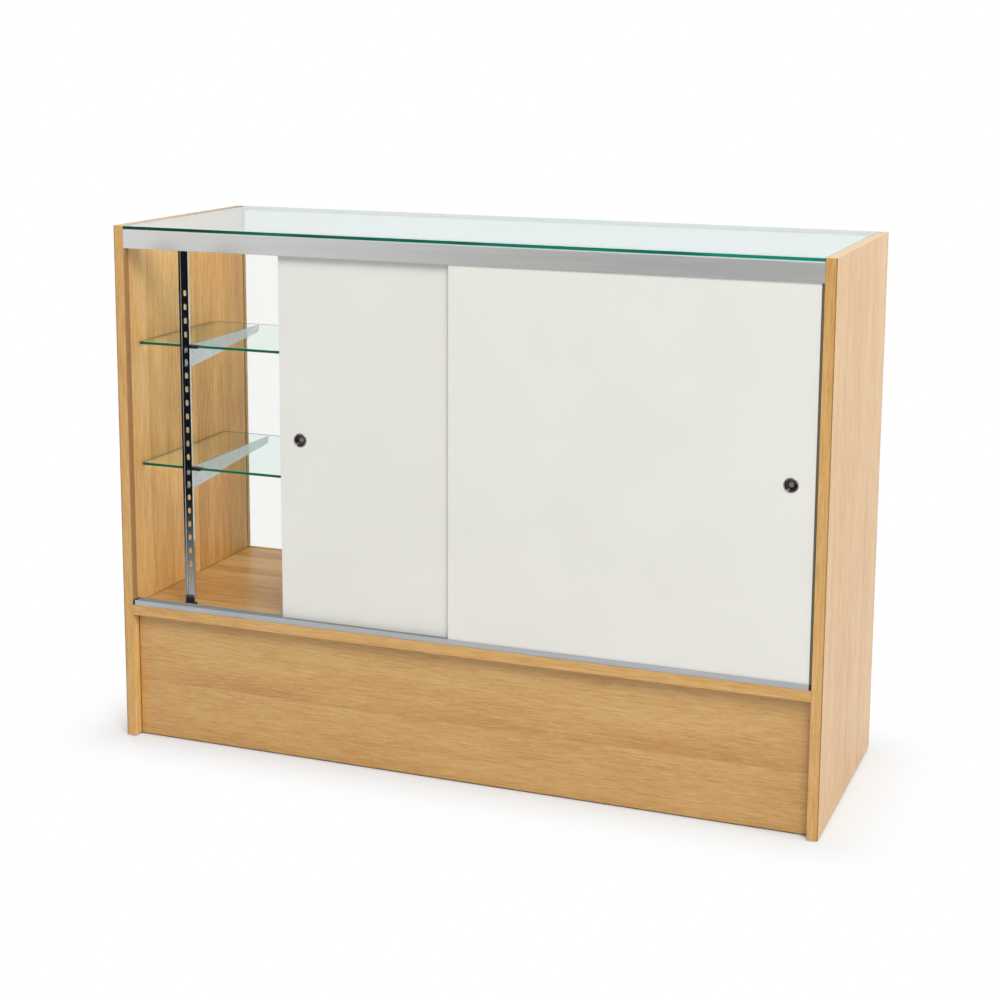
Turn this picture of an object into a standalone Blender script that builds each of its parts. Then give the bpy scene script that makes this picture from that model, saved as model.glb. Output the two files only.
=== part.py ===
"""Counter-height glass display case with timber ends and two sliding doors.

Frame: +X is the case's right as the shopkeeper faces it, -Y is the service side with the sliding doors,
+Y is the customer side with the glass front, +Z is up. The origin is on the floor under the centre.
All sizes are in metres. A depth called an offset is measured inwards from the plane of the service edges.
"""

import math

import bmesh
import bpy
from mathutils import Matrix, Vector

# Overall size
WIDTH = 1.320
DEPTH = 0.460
HEIGHT = 0.970

# Gap between pieces that touch, and how far a cutting shape runs past the face it opens
FIT = 0.0003
OVERSHOOT = 0.004

# Timber boards and their edge strips
PANEL_THICKNESS = 0.019
DECK_THICKNESS = 0.019
DECK_TOP = 0.259
KICK_THICKNESS = 0.018
KICK_RECESS = 0.0195
EDGE_BAND = 0.001
BOARD_EDGE = 0.0004
BAND_EDGE = 0.0002

# Floor glides nailed into the lower edges of the side panels
GLIDE_RADIUS = 0.0085
GLIDE_HEIGHT = 0.0025
GLIDE_ROUND = 0.0008
GLIDE_INSET = 0.035
NAIL_RADIUS = 0.0014
NAIL_LENGTH = 0.016

# Knock-down fittings: a cam disc in one board draws the head of a bolt that is screwed into the other
CAM_RADIUS = 0.0074
CAM_HEIGHT = 0.0125
CAM_SETBACK = 0.024
BOLT_HEAD_RADIUS = 0.0033
BOLT_HEAD_LENGTH = 0.0030
BOLT_NECK_RADIUS = 0.0022
BOLT_THREAD_RADIUS = 0.0026
BOLT_THREAD_LENGTH = 0.011
BOLT_CHAMFER = 0.0008

# Glass
TOP_GLASS = 0.0064
TOP_GLASS_END_GAP = 0.001
FRONT_GLASS = 0.006
FRONT_GLASS_SETBACK = 0.012
SHELF_GLASS = 0.005
SHELF_END_GAP = 0.004
UPPER_SHELF_DEPTH = 0.2785
LOWER_SHELF_DEPTH = 0.311
GLASS_EDGE = 0.0005
GROOVE_DEPTH = 0.008
GASKET_WALL = 0.0008
GASKET_SKIRT = 0.006

# Aluminium door rail at the top and door track on the deck
RAIL_WALL = 0.0016
RAIL_PLATE = 0.002
RAIL_HEIGHT = 0.034
RAIL_WEB = 0.032
RAIL_LEG = 0.024
CHANNEL = 0.0076
CLIP_POCKET = 0.0096
TRACK_HEIGHT = 0.0095
TRACK_FLOOR = 0.0016
BUMPER = 0.004

# Angle clips that carry the ends of the top rail
CLIP_THICKNESS = 0.0016
CLIP_LENGTH = 0.026
CLIP_DROP = 0.020
CLIP_PEG_RADIUS = 0.002
CLIP_PEG_LENGTH = 0.010

# Felt strips on the side panels that meet the ends of the closed doors
FELT = 0.0034
FELT_WIDTH = 0.0115
FELT_SETBACK = 0.0006

# Sliding doors and their finger pulls
DOOR_THICKNESS = 0.0056
DOOR_OVERLAP = 0.007
DOOR_RUN = 0.0005
DOOR_ENGAGEMENT = 0.014
DOOR_EDGE = 0.0006
LEFT_DOOR_OPEN = 0.304
PULL_INSET = 0.040
PULL_FLANGE_RADIUS = 0.0127
PULL_FLANGE = 0.0008
PULL_CUP_RADIUS = 0.0110
PULL_DEPTH = 0.0075
PULL_WALL = 0.0008
PULL_ROUND = 0.0018

# Slotted uprights, their feet and screws
STANDARD_INSET = 0.105
STANDARD_WIDTH = 0.0195
STANDARD_DEPTH = 0.006
STANDARD_WALL = 0.0015
FIRST_SLOT_DROP = 0.122
SLOT_PITCH = 0.0254
SLOT_HEIGHT = 0.011
SLOT_CLEARANCE = 0.0014
SLOT_MARGIN = 0.020
FOOT_HEIGHT = 0.008
FOOT_LIP = 0.0012
FOOT_PLUG = 0.008
SCREW_RADIUS = 0.0018
SCREW_HEAD_RADIUS = 0.0034
SCREW_HEAD = 0.0022
SCREW_TIP = 0.0015

# Shelf brackets and the clips that hold the shelves on them
UPPER_SHELF_SLOT = 4
LOWER_SHELF_SLOT = 13
BRACKET_THICKNESS = 0.003
BRACKET_RISE = 0.001
BRACKET_ROOT = 0.038
BRACKET_TIP = 0.014
BRACKET_TIP_ROUND = 0.010
BRACKET_SETBACK = 0.006
BRACKET_HOLE_RADIUS = 0.0015
BRACKET_HOLE_REACH = 0.022
BRACKET_HOLE_DROP = 0.011
HOOK_HEIGHT = 0.0045
HOOK_DROP = 0.003
HOOK_THICKNESS = 0.0025
CLIP_PAD = 0.001
CLIP_STOP = 0.0025
CLIP_PAD_DEPTH = 0.012
CLIP_INNER_REACH = 0.022
CLIP_OUTER_REACH = 0.004

# How finely round shapes are divided
ROUND_STEPS = 24
SMALL_ROUND_STEPS = 12
ARC_STEPS = 6
FINE_ARC_STEPS = 4

# Places worked out from the sizes above
SERVICE_Y = -DEPTH / 2
CUSTOMER_Y = DEPTH / 2
INNER_X = WIDTH / 2 - PANEL_THICKNESS
BOARD_BOTTOM = GLIDE_HEIGHT + FIT
BOARD_SERVICE_Y = SERVICE_Y + EDGE_BAND + FIT
BOARD_CUSTOMER_Y = CUSTOMER_Y - EDGE_BAND - FIT
BETWEEN_X = INNER_X - FIT
DECK_BOTTOM = DECK_TOP - DECK_THICKNESS
DECK_MIDDLE = DECK_TOP - DECK_THICKNESS / 2
KICK_TOP = DECK_BOTTOM - FIT
KICK_MIDDLE_Z = (BOARD_BOTTOM + KICK_TOP) / 2
KICK_MIDDLE_Y = DEPTH / 2 - KICK_RECESS - KICK_THICKNESS / 2
GLASS_Y = CUSTOMER_Y - FRONT_GLASS_SETBACK
GROOVE_HALF = FRONT_GLASS / 2 + FIT
GROOVE_BOTTOM = DECK_TOP - GROOVE_DEPTH
COUNTER_UNDERSIDE = HEIGHT - TOP_GLASS
RAIL_TOP = COUNTER_UNDERSIDE - FIT
RAIL_BOTTOM = RAIL_TOP - RAIL_HEIGHT
OUTER_CHANNEL = RAIL_WALL
MIDDLE_WEB = OUTER_CHANNEL + CHANNEL
INNER_CHANNEL = MIDDLE_WEB + RAIL_WALL
BACK_WEB = INNER_CHANNEL + CHANNEL
TRACK_BACK = BACK_WEB + RAIL_WALL
RAIL_LEG_FACE = TRACK_BACK + CLIP_POCKET
RAIL_BACK = RAIL_LEG_FACE + RAIL_WALL
STANDARD_X = INNER_X - STANDARD_INSET
STANDARD_FACE = RAIL_BACK + FIT
STANDARD_BACK = STANDARD_FACE + STANDARD_DEPTH
STANDARD_TOP = RAIL_TOP - FIT
SHELF_EDGE = STANDARD_BACK + FIT + CLIP_STOP + FIT
TRACK_BOTTOM = DECK_TOP + FIT
TRACK_TOP = TRACK_BOTTOM + TRACK_HEIGHT
BUMPER_FACE = BETWEEN_X - BUMPER
DOOR_STOP = BUMPER_FACE - FIT
DOOR_WIDTH = DOOR_STOP + DOOR_OVERLAP / 2
DOOR_BOTTOM = TRACK_BOTTOM + TRACK_FLOOR + DOOR_RUN
DOOR_TOP = RAIL_BOTTOM + DOOR_ENGAGEMENT
OUTER_DOOR_OFFSET = OUTER_CHANNEL + CHANNEL / 2
INNER_DOOR_OFFSET = INNER_CHANNEL + CHANNEL / 2
FIRST_SLOT = HEIGHT - FIRST_SLOT_DROP
SLOT_WIDTH = BRACKET_THICKNESS + 2 * SLOT_CLEARANCE
FOOT_TOP = DECK_TOP + FIT + FOOT_HEIGHT
SLOT_COUNT = int((FIRST_SLOT - FOOT_TOP - FOOT_PLUG - SLOT_MARGIN) / SLOT_PITCH) + 1
SCREW_Z = RAIL_TOP - RAIL_PLATE - (RAIL_LEG - RAIL_PLATE) / 2
SIDES = (("left", -1), ("right", 1))
FACES = (("service", -1), ("customer", 1))
CORNERS = tuple((side, sign, face, way) for side, sign in SIDES for face, way in FACES)


def clear_scene():
    """Empty the file, so that only the case is in it."""
    for old in list(bpy.data.objects):
        bpy.data.objects.remove(old, do_unlink=True)


def finish(name, colour, roughness, metallic=0.0, transmission=0.0):
    """A Principled material in the piece's own colour."""
    material = bpy.data.materials.new(name)
    material.use_nodes = True
    shader = material.node_tree.nodes["Principled BSDF"]
    shader.inputs["Base Color"].default_value = (*colour, 1.0)
    shader.inputs["Roughness"].default_value = roughness
    shader.inputs["Metallic"].default_value = metallic
    shader.inputs["Transmission Weight"].default_value = transmission
    return material


def at_offset(offset):
    """The Y of a depth measured inwards from the service edges."""
    return SERVICE_Y + offset


def add_piece(name, mesh_data, material, origin=(0.0, 0.0, 0.0), parent=None, smooth=False):
    """Make a named object from a bmesh in world places, with its own origin."""
    mesh = bpy.data.meshes.new(name)
    bmesh.ops.translate(mesh_data, vec=-Vector(origin), verts=mesh_data.verts)
    mesh_data.to_mesh(mesh)
    mesh_data.free()
    if smooth:
        mesh.shade_smooth()
        mesh.set_sharp_from_angle(angle=math.radians(35))
    mesh.materials.append(material)
    piece = bpy.data.objects.new(name, mesh)
    bpy.context.scene.collection.objects.link(piece)
    piece.location = origin
    if parent:
        piece.parent = parent
        piece.location = Vector(origin) - parent.location
    return piece


def add_empty(name, place):
    """An empty on the axis of a joint."""
    empty = bpy.data.objects.new(name, None)
    bpy.context.scene.collection.objects.link(empty)
    empty.location = place
    return empty


def shape_with(piece, name, mesh_data, operation, origin=(0.0, 0.0, 0.0)):
    """Cut a shape in world places out of a piece with that origin, or join it on, with a Boolean modifier."""
    mesh = bpy.data.meshes.new(name)
    mesh_data.to_mesh(mesh)
    mesh_data.free()
    cutter = bpy.data.objects.new(name, mesh)
    bpy.context.scene.collection.objects.link(cutter)
    cutter.hide_render = True
    cutter.display_type = 'WIRE'
    cutter.parent = piece
    cutter.location = -Vector(origin)
    modifier = piece.modifiers.new(name, 'BOOLEAN')
    modifier.operation = operation
    modifier.solver = 'EXACT'
    modifier.object = cutter


def box(low, high, edge=0.0):
    """A box between two corners, with its edges broken by a small chamfer."""
    shape = bmesh.new()
    add_box(shape, low, high)
    if edge:
        bmesh.ops.bevel(shape, geom=shape.edges[:], offset=edge, segments=1, affect='EDGES')
    return shape


def add_box(shape, low, high):
    """Add a box between two corners to a bmesh."""
    low = Vector(low)
    high = Vector(high)
    size = Matrix.Diagonal((high - low).to_4d())
    size[3][3] = 1.0
    bmesh.ops.create_cube(shape, size=1.0, matrix=Matrix.Translation((low + high) / 2) @ size)


def add_rod(shape, start, end, radius, steps=SMALL_ROUND_STEPS):
    """Add a round rod between two points to a bmesh."""
    start = Vector(start)
    run = Vector(end) - start
    turn = run.to_track_quat('Z', 'Y').to_matrix().to_4x4()
    place = Matrix.Translation(start + run / 2) @ turn
    bmesh.ops.create_cone(shape, cap_ends=True, segments=steps, radius1=radius, radius2=radius,
                          depth=run.length, matrix=place)


def add_outline(shape, corners, run):
    """Add a closed outline, given as 3-D corners, drawn out along a run."""
    face = shape.faces.new([shape.verts.new(corner) for corner in corners])
    drawn = bmesh.ops.extrude_face_region(shape, geom=[face])
    moved = [item for item in drawn["geom"] if isinstance(item, bmesh.types.BMVert)]
    bmesh.ops.translate(shape, vec=run, verts=moved)
    bmesh.ops.recalc_face_normals(shape, faces=shape.faces)


def outline(corners, run):
    """A closed outline, given as 3-D corners, drawn out along a run."""
    shape = bmesh.new()
    add_outline(shape, corners, run)
    return shape


def turned(profile, steps, place):
    """A solid turned about Z from (radius, height) pairs that start and end on the axis, then placed."""
    shape = bmesh.new()
    points = [shape.verts.new((radius, 0.0, height)) for radius, height in profile]
    lines = [shape.edges.new(pair) for pair in zip(points, points[1:])]
    bmesh.ops.spin(shape, geom=points + lines, cent=(0, 0, 0), axis=(0, 0, 1), angle=math.tau, steps=steps,
                   use_merge=True)
    bmesh.ops.remove_doubles(shape, verts=shape.verts, dist=0.000001)
    bmesh.ops.recalc_face_normals(shape, faces=shape.faces)
    shape.transform(place)
    return shape


def arc(centre_a, centre_b, radius, start, end, steps=ARC_STEPS):
    """Points on an arc in a plane, from one angle to another in degrees, both ends included."""
    angles = [math.radians(start + (end - start) * step / steps) for step in range(steps + 1)]
    return [(centre_a + radius * math.cos(angle), centre_b + radius * math.sin(angle)) for angle in angles]


def facing(direction, place):
    """A placement that turns +Z to a direction and moves to a place."""
    turn = Vector(direction).to_track_quat('Z', 'Y').to_matrix().to_4x4()
    return Matrix.Translation(place) @ turn


def slot_z(index):
    """Height of the middle of a slot, counted from the top of the uprights."""
    return FIRST_SLOT - index * SLOT_PITCH


def make_side_panels(oak, band):
    """Full-height boards with a groove for the front glass and bores for the fittings, and edge strips."""
    for side, sign in SIDES:
        outer = sign * WIDTH / 2
        inner = sign * INNER_X
        low_x, high_x = sorted((outer, inner))
        board = box((low_x, BOARD_SERVICE_Y, BOARD_BOTTOM), (high_x, BOARD_CUSTOMER_Y, HEIGHT), BOARD_EDGE)
        panel = add_piece(f"{side}_side_panel", board, oak)

        groove = bmesh.new()
        groove_x = sorted((inner - sign * OVERSHOOT, inner + sign * GROOVE_DEPTH))
        add_box(groove, (groove_x[0], GLASS_Y - GROOVE_HALF, GROOVE_BOTTOM),
                (groove_x[1], GLASS_Y + GROOVE_HALF, HEIGHT + OVERSHOOT))
        shape_with(panel, f"{side}_panel_groove_cut", groove, 'DIFFERENCE')

        bores = bmesh.new()
        bolt_end = inner + sign * (BOLT_THREAD_LENGTH + FIT)
        start = inner - sign * OVERSHOOT
        bore_radius = BOLT_THREAD_RADIUS + FIT
        add_rod(bores, (start, 0.0, DECK_MIDDLE), (bolt_end, 0.0, DECK_MIDDLE), bore_radius)
        for _, way in FACES:
            kick_y = way * KICK_MIDDLE_Y
            add_rod(bores, (start, kick_y, KICK_MIDDLE_Z), (bolt_end, kick_y, KICK_MIDDLE_Z), bore_radius)
            glide_y = way * (DEPTH / 2 - GLIDE_INSET)
            middle = (outer + inner) / 2
            add_rod(bores, (middle, glide_y, BOARD_BOTTOM - OVERSHOOT),
                    (middle, glide_y, BOARD_BOTTOM + NAIL_LENGTH + FIT), NAIL_RADIUS + FIT)
        peg_y, peg_z = rail_clip_peg()
        add_rod(bores, (start, peg_y, peg_z), (inner + sign * (CLIP_PEG_LENGTH + FIT), peg_y, peg_z),
                CLIP_PEG_RADIUS + FIT)
        shape_with(panel, f"{side}_panel_bores_cut", bores, 'DIFFERENCE')

        for face, way in FACES:
            edge_y = way * DEPTH / 2
            low_y, high_y = sorted((edge_y, edge_y - way * EDGE_BAND))
            strip = box((low_x, low_y, BOARD_BOTTOM), (high_x, high_y, HEIGHT), BAND_EDGE)
            add_piece(f"{side}_{face}_edge_band", strip, band)


def make_floor_glides(nickel):
    """Nail-on glides that keep the boards just off the floor."""
    profile = [(0.0, 0.0), (GLIDE_RADIUS - GLIDE_ROUND, 0.0), (GLIDE_RADIUS, GLIDE_ROUND),
               (GLIDE_RADIUS, GLIDE_HEIGHT), (NAIL_RADIUS, GLIDE_HEIGHT),
               (NAIL_RADIUS, BOARD_BOTTOM + NAIL_LENGTH), (0.0, BOARD_BOTTOM + NAIL_LENGTH)]
    for side, sign, face, way in CORNERS:
        place = (sign * (WIDTH - PANEL_THICKNESS) / 2, way * (DEPTH / 2 - GLIDE_INSET), 0.0)
        glide = turned(profile, SMALL_ROUND_STEPS, Matrix.Translation(place))
        add_piece(f"{face}_{side}_glide", glide, nickel, origin=place, smooth=True)


def make_deck(oak, band):
    """Display floor between the side panels, grooved for the front glass and bored for its fittings."""
    low = (-BETWEEN_X, BOARD_SERVICE_Y, DECK_BOTTOM)
    high = (BETWEEN_X, BOARD_CUSTOMER_Y, DECK_TOP)
    deck = add_piece("deck_panel", box(low, high, BOARD_EDGE), oak)

    groove = bmesh.new()
    add_box(groove, (-INNER_X - OVERSHOOT, GLASS_Y - GROOVE_HALF, GROOVE_BOTTOM),
            (INNER_X + OVERSHOOT, GLASS_Y + GROOVE_HALF, DECK_TOP + OVERSHOOT))
    shape_with(deck, "deck_groove_cut", groove, 'DIFFERENCE')

    cam_bores = bmesh.new()
    bolt_bores = bmesh.new()
    for _, sign in SIDES:
        cam_x = sign * (BETWEEN_X - CAM_SETBACK)
        add_rod(cam_bores, (cam_x, 0.0, DECK_BOTTOM - OVERSHOOT),
                (cam_x, 0.0, DECK_BOTTOM + CAM_HEIGHT + FIT), CAM_RADIUS + FIT, ROUND_STEPS)
        add_rod(bolt_bores, (sign * (BETWEEN_X + OVERSHOOT), 0.0, DECK_MIDDLE),
                (cam_x, 0.0, DECK_MIDDLE), BOLT_HEAD_RADIUS + FIT)
    shape_with(deck, "deck_cam_bores_cut", cam_bores, 'DIFFERENCE')
    shape_with(deck, "deck_bolt_bores_cut", bolt_bores, 'DIFFERENCE')

    for face, way in FACES:
        edge_y = way * DEPTH / 2
        low_y, high_y = sorted((edge_y, edge_y - way * EDGE_BAND))
        strip = box((-BETWEEN_X, low_y, DECK_BOTTOM), (BETWEEN_X, high_y, DECK_TOP), BAND_EDGE)
        add_piece(f"deck_{face}_edge_band", strip, band)


def make_kick_panels(oak):
    """Recessed boards below the deck, bored at their ends and inner faces for the fittings."""
    for face, way in FACES:
        shown = way * (DEPTH / 2 - KICK_RECESS)
        hidden = shown - way * KICK_THICKNESS
        low_y, high_y = sorted((shown, hidden))
        board = box((-BETWEEN_X, low_y, BOARD_BOTTOM), (BETWEEN_X, high_y, KICK_TOP), BOARD_EDGE)
        kick = add_piece(f"{face}_kick_panel", board, oak)
        cam_bores = bmesh.new()
        bolt_bores = bmesh.new()
        middle = way * KICK_MIDDLE_Y
        for _, sign in SIDES:
            cam_x = sign * (BETWEEN_X - CAM_SETBACK)
            add_rod(cam_bores, (cam_x, hidden - way * OVERSHOOT, KICK_MIDDLE_Z),
                    (cam_x, hidden + way * (CAM_HEIGHT + FIT), KICK_MIDDLE_Z), CAM_RADIUS + FIT, ROUND_STEPS)
            add_rod(bolt_bores, (sign * (BETWEEN_X + OVERSHOOT), middle, KICK_MIDDLE_Z),
                    (cam_x, middle, KICK_MIDDLE_Z), BOLT_HEAD_RADIUS + FIT)
        shape_with(kick, f"{face}_kick_cam_bores_cut", cam_bores, 'DIFFERENCE')
        shape_with(kick, f"{face}_kick_bolt_bores_cut", bolt_bores, 'DIFFERENCE')


def cam_disc(place):
    """A cam: a disc with an open slot that takes the bolt's head, the slot towards +X."""
    slot = BOLT_HEAD_RADIUS + FIT
    mouth = math.degrees(math.asin(slot / CAM_RADIUS))
    rim = arc(0.0, 0.0, CAM_RADIUS, mouth, 360.0 - mouth, SMALL_ROUND_STEPS)
    slot_end = arc(0.0, 0.0, slot, 270.0, 90.0)
    disc = outline([(a, b, 0.0) for a, b in rim + slot_end], (0.0, 0.0, CAM_HEIGHT))
    disc.transform(place)
    return disc


def cam_bolt(place):
    """A bolt: thread, neck and head along +Z, from the bottom of its thread to the middle of the cam."""
    neck_end = BOLT_THREAD_LENGTH + FIT + CAM_SETBACK - BOLT_HEAD_LENGTH / 2
    head_end = neck_end + BOLT_HEAD_LENGTH
    profile = [(0.0, 0.0), (BOLT_THREAD_RADIUS - BOLT_CHAMFER, 0.0), (BOLT_THREAD_RADIUS, BOLT_CHAMFER),
               (BOLT_THREAD_RADIUS, BOLT_THREAD_LENGTH),
               (BOLT_NECK_RADIUS, BOLT_THREAD_LENGTH + BOLT_CHAMFER),
               (BOLT_NECK_RADIUS, neck_end), (BOLT_HEAD_RADIUS, neck_end + BOLT_CHAMFER),
               (BOLT_HEAD_RADIUS, head_end - BOLT_CHAMFER), (BOLT_HEAD_RADIUS - BOLT_CHAMFER, head_end),
               (0.0, head_end)]
    return turned(profile, SMALL_ROUND_STEPS, place)


def make_fittings(zinc):
    """Cams and bolts that join the side panels to the middle of the deck's ends and to the kick panels."""
    for side, sign in SIDES:
        cam_x = sign * (BETWEEN_X - CAM_SETBACK)
        bolt_x = sign * (INNER_X + BOLT_THREAD_LENGTH)
        towards_panel = Matrix.Rotation(0.0 if sign > 0 else math.pi, 4, 'Z')
        deck_cam = cam_disc(Matrix.Translation((cam_x, 0.0, DECK_BOTTOM)) @ towards_panel)
        add_piece(f"deck_cam_{side}", deck_cam, zinc)
        deck_bolt = cam_bolt(facing((-sign, 0.0, 0.0), (bolt_x, 0.0, DECK_MIDDLE)))
        add_piece(f"deck_cam_bolt_{side}", deck_bolt, zinc, smooth=True)

        for face, way in FACES:
            kick_y = way * (DEPTH / 2 - KICK_RECESS - KICK_THICKNESS)
            lie_down = Matrix.Rotation(-way * math.pi / 2, 4, 'X')
            place = Matrix.Translation((cam_x, kick_y, KICK_MIDDLE_Z))
            kick_cam = cam_disc(place @ lie_down @ towards_panel)
            add_piece(f"kick_cam_{face}_{side}", kick_cam, zinc)
            kick_bolt = cam_bolt(facing((-sign, 0.0, 0.0), (bolt_x, way * KICK_MIDDLE_Y, KICK_MIDDLE_Z)))
            add_piece(f"kick_cam_bolt_{face}_{side}", kick_bolt, zinc, smooth=True)


def make_top_rail(aluminium):
    """Extruded rail: a face, two door channels and a leg that the uprights are screwed to."""
    profile = [(0.0, 0.0), (RAIL_BACK, 0.0), (RAIL_BACK, -RAIL_LEG), (RAIL_LEG_FACE, -RAIL_LEG),
               (RAIL_LEG_FACE, -RAIL_PLATE), (TRACK_BACK, -RAIL_PLATE), (TRACK_BACK, -RAIL_WEB),
               (BACK_WEB, -RAIL_WEB), (BACK_WEB, -RAIL_PLATE), (INNER_CHANNEL, -RAIL_PLATE),
               (INNER_CHANNEL, -RAIL_WEB), (MIDDLE_WEB, -RAIL_WEB), (MIDDLE_WEB, -RAIL_PLATE),
               (OUTER_CHANNEL, -RAIL_PLATE), (OUTER_CHANNEL, -RAIL_HEIGHT), (0.0, -RAIL_HEIGHT)]
    corners = [(-BETWEEN_X, at_offset(offset), RAIL_TOP + height) for offset, height in profile]
    rail = add_piece("top_rail", outline(corners, (2 * BETWEEN_X, 0.0, 0.0)), aluminium)
    holes = bmesh.new()
    for _, sign in SIDES:
        add_rod(holes, (sign * STANDARD_X, at_offset(RAIL_LEG_FACE - OVERSHOOT), SCREW_Z),
                (sign * STANDARD_X, at_offset(RAIL_BACK + OVERSHOOT), SCREW_Z), SCREW_RADIUS + FIT)
    shape_with(rail, "top_rail_screw_holes_cut", holes, 'DIFFERENCE')


def rail_clip_peg():
    """Place of the peg that ties a rail clip to its side panel."""
    return at_offset((TRACK_BACK + RAIL_LEG_FACE) / 2), RAIL_TOP - RAIL_PLATE - FIT - CLIP_DROP / 2


def make_rail_clips(zinc):
    """Angle clips in the pocket of the rail, pegged into the side panels."""
    top = RAIL_TOP - RAIL_PLATE - FIT
    peg_y, peg_z = rail_clip_peg()
    for side, sign in SIDES:
        wall = sign * BETWEEN_X
        profile = [(0.0, 0.0), (CLIP_LENGTH, 0.0), (CLIP_LENGTH, -CLIP_THICKNESS),
                   (CLIP_THICKNESS, -CLIP_THICKNESS), (CLIP_THICKNESS, -CLIP_DROP), (0.0, -CLIP_DROP)]
        near_y = at_offset(TRACK_BACK + FIT)
        corners = [(wall - sign * away, near_y, top + height) for away, height in profile]
        angle = outline(corners, (0.0, CLIP_POCKET - 2 * FIT, 0.0))
        clip = add_piece(f"{side}_rail_clip", angle, zinc)
        peg = bmesh.new()
        add_rod(peg, (wall - sign * CLIP_THICKNESS / 2, peg_y, peg_z),
                (sign * (INNER_X + CLIP_PEG_LENGTH), peg_y, peg_z), CLIP_PEG_RADIUS)
        shape_with(clip, f"{side}_rail_clip_peg_join", peg, 'UNION')


def make_bottom_track(aluminium, rubber):
    """Double channel on the deck that the doors run in, with a black stop at each end."""
    profile = [(0.0, 0.0), (TRACK_BACK, 0.0), (TRACK_BACK, TRACK_HEIGHT), (BACK_WEB, TRACK_HEIGHT),
               (BACK_WEB, TRACK_FLOOR), (INNER_CHANNEL, TRACK_FLOOR), (INNER_CHANNEL, TRACK_HEIGHT),
               (MIDDLE_WEB, TRACK_HEIGHT), (MIDDLE_WEB, TRACK_FLOOR), (OUTER_CHANNEL, TRACK_FLOOR),
               (OUTER_CHANNEL, TRACK_HEIGHT), (0.0, TRACK_HEIGHT)]
    end = BUMPER_FACE - FIT
    corners = [(-end, at_offset(offset), TRACK_BOTTOM + height) for offset, height in profile]
    add_piece("bottom_track", outline(corners, (2 * end, 0.0, 0.0)), aluminium)
    for side, sign in SIDES:
        low_x, high_x = sorted((sign * BUMPER_FACE, sign * BETWEEN_X))
        stop = box((low_x, SERVICE_Y, TRACK_BOTTOM), (high_x, at_offset(TRACK_BACK), TRACK_TOP), BOARD_EDGE)
        add_piece(f"{side}_track_bumper", stop, rubber)


def make_door_felts(felt):
    """Upright felt strips inside the service edges, between the track and the rail."""
    for side, sign in SIDES:
        low_x, high_x = sorted((sign * (BETWEEN_X - FELT), sign * BETWEEN_X))
        strip = box((low_x, at_offset(FELT_SETBACK), TRACK_TOP + FIT),
                    (high_x, at_offset(FELT_SETBACK + FELT_WIDTH), RAIL_BOTTOM - FIT), BOARD_EDGE)
        add_piece(f"{side}_door_felt", strip, felt)


def make_top_glass(glass):
    """Counter top that lies between the side panels, on the rail and on the front glass."""
    half = INNER_X - TOP_GLASS_END_GAP
    pane = box((-half, SERVICE_Y, COUNTER_UNDERSIDE), (half, CUSTOMER_Y, HEIGHT), GLASS_EDGE)
    add_piece("top_glass", pane, glass)


def make_front_glass(glass, vinyl):
    """Customer-side pane in its grooves, with a clear cap between it and the counter top."""
    half = INNER_X + GROOVE_DEPTH - FIT
    cap_top = COUNTER_UNDERSIDE - FIT
    pane_top = cap_top - GASKET_WALL - FIT
    pane = box((-half, GLASS_Y - FRONT_GLASS / 2, GROOVE_BOTTOM + FIT),
               (half, GLASS_Y + FRONT_GLASS / 2, pane_top), GLASS_EDGE)
    add_piece("front_glass", pane, glass)
    inside = FRONT_GLASS / 2 + FIT
    outside = inside + GASKET_WALL
    skirt = cap_top - GASKET_SKIRT
    profile = [(-outside, skirt), (-inside, skirt), (-inside, cap_top - GASKET_WALL),
               (inside, cap_top - GASKET_WALL), (inside, skirt), (outside, skirt), (outside, cap_top),
               (-outside, cap_top)]
    corners = [(-BETWEEN_X, GLASS_Y + across, height) for across, height in profile]
    add_piece("front_glass_gasket", outline(corners, (2 * BETWEEN_X, 0.0, 0.0)), vinyl)


def shelves():
    """Name, slot and depth of each shelf."""
    return (("upper", UPPER_SHELF_SLOT, UPPER_SHELF_DEPTH), ("lower", LOWER_SHELF_SLOT, LOWER_SHELF_DEPTH))


def make_shelves(glass):
    """Loose glass shelves on their brackets."""
    half = INNER_X - SHELF_END_GAP
    for level, slot, depth in shelves():
        underside = slot_z(slot) + BRACKET_RISE + FIT
        pane = box((-half, at_offset(SHELF_EDGE), underside),
                   (half, at_offset(SHELF_EDGE + depth), underside + SHELF_GLASS), GLASS_EDGE)
        add_piece(f"{level}_shelf", pane, glass)


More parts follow.
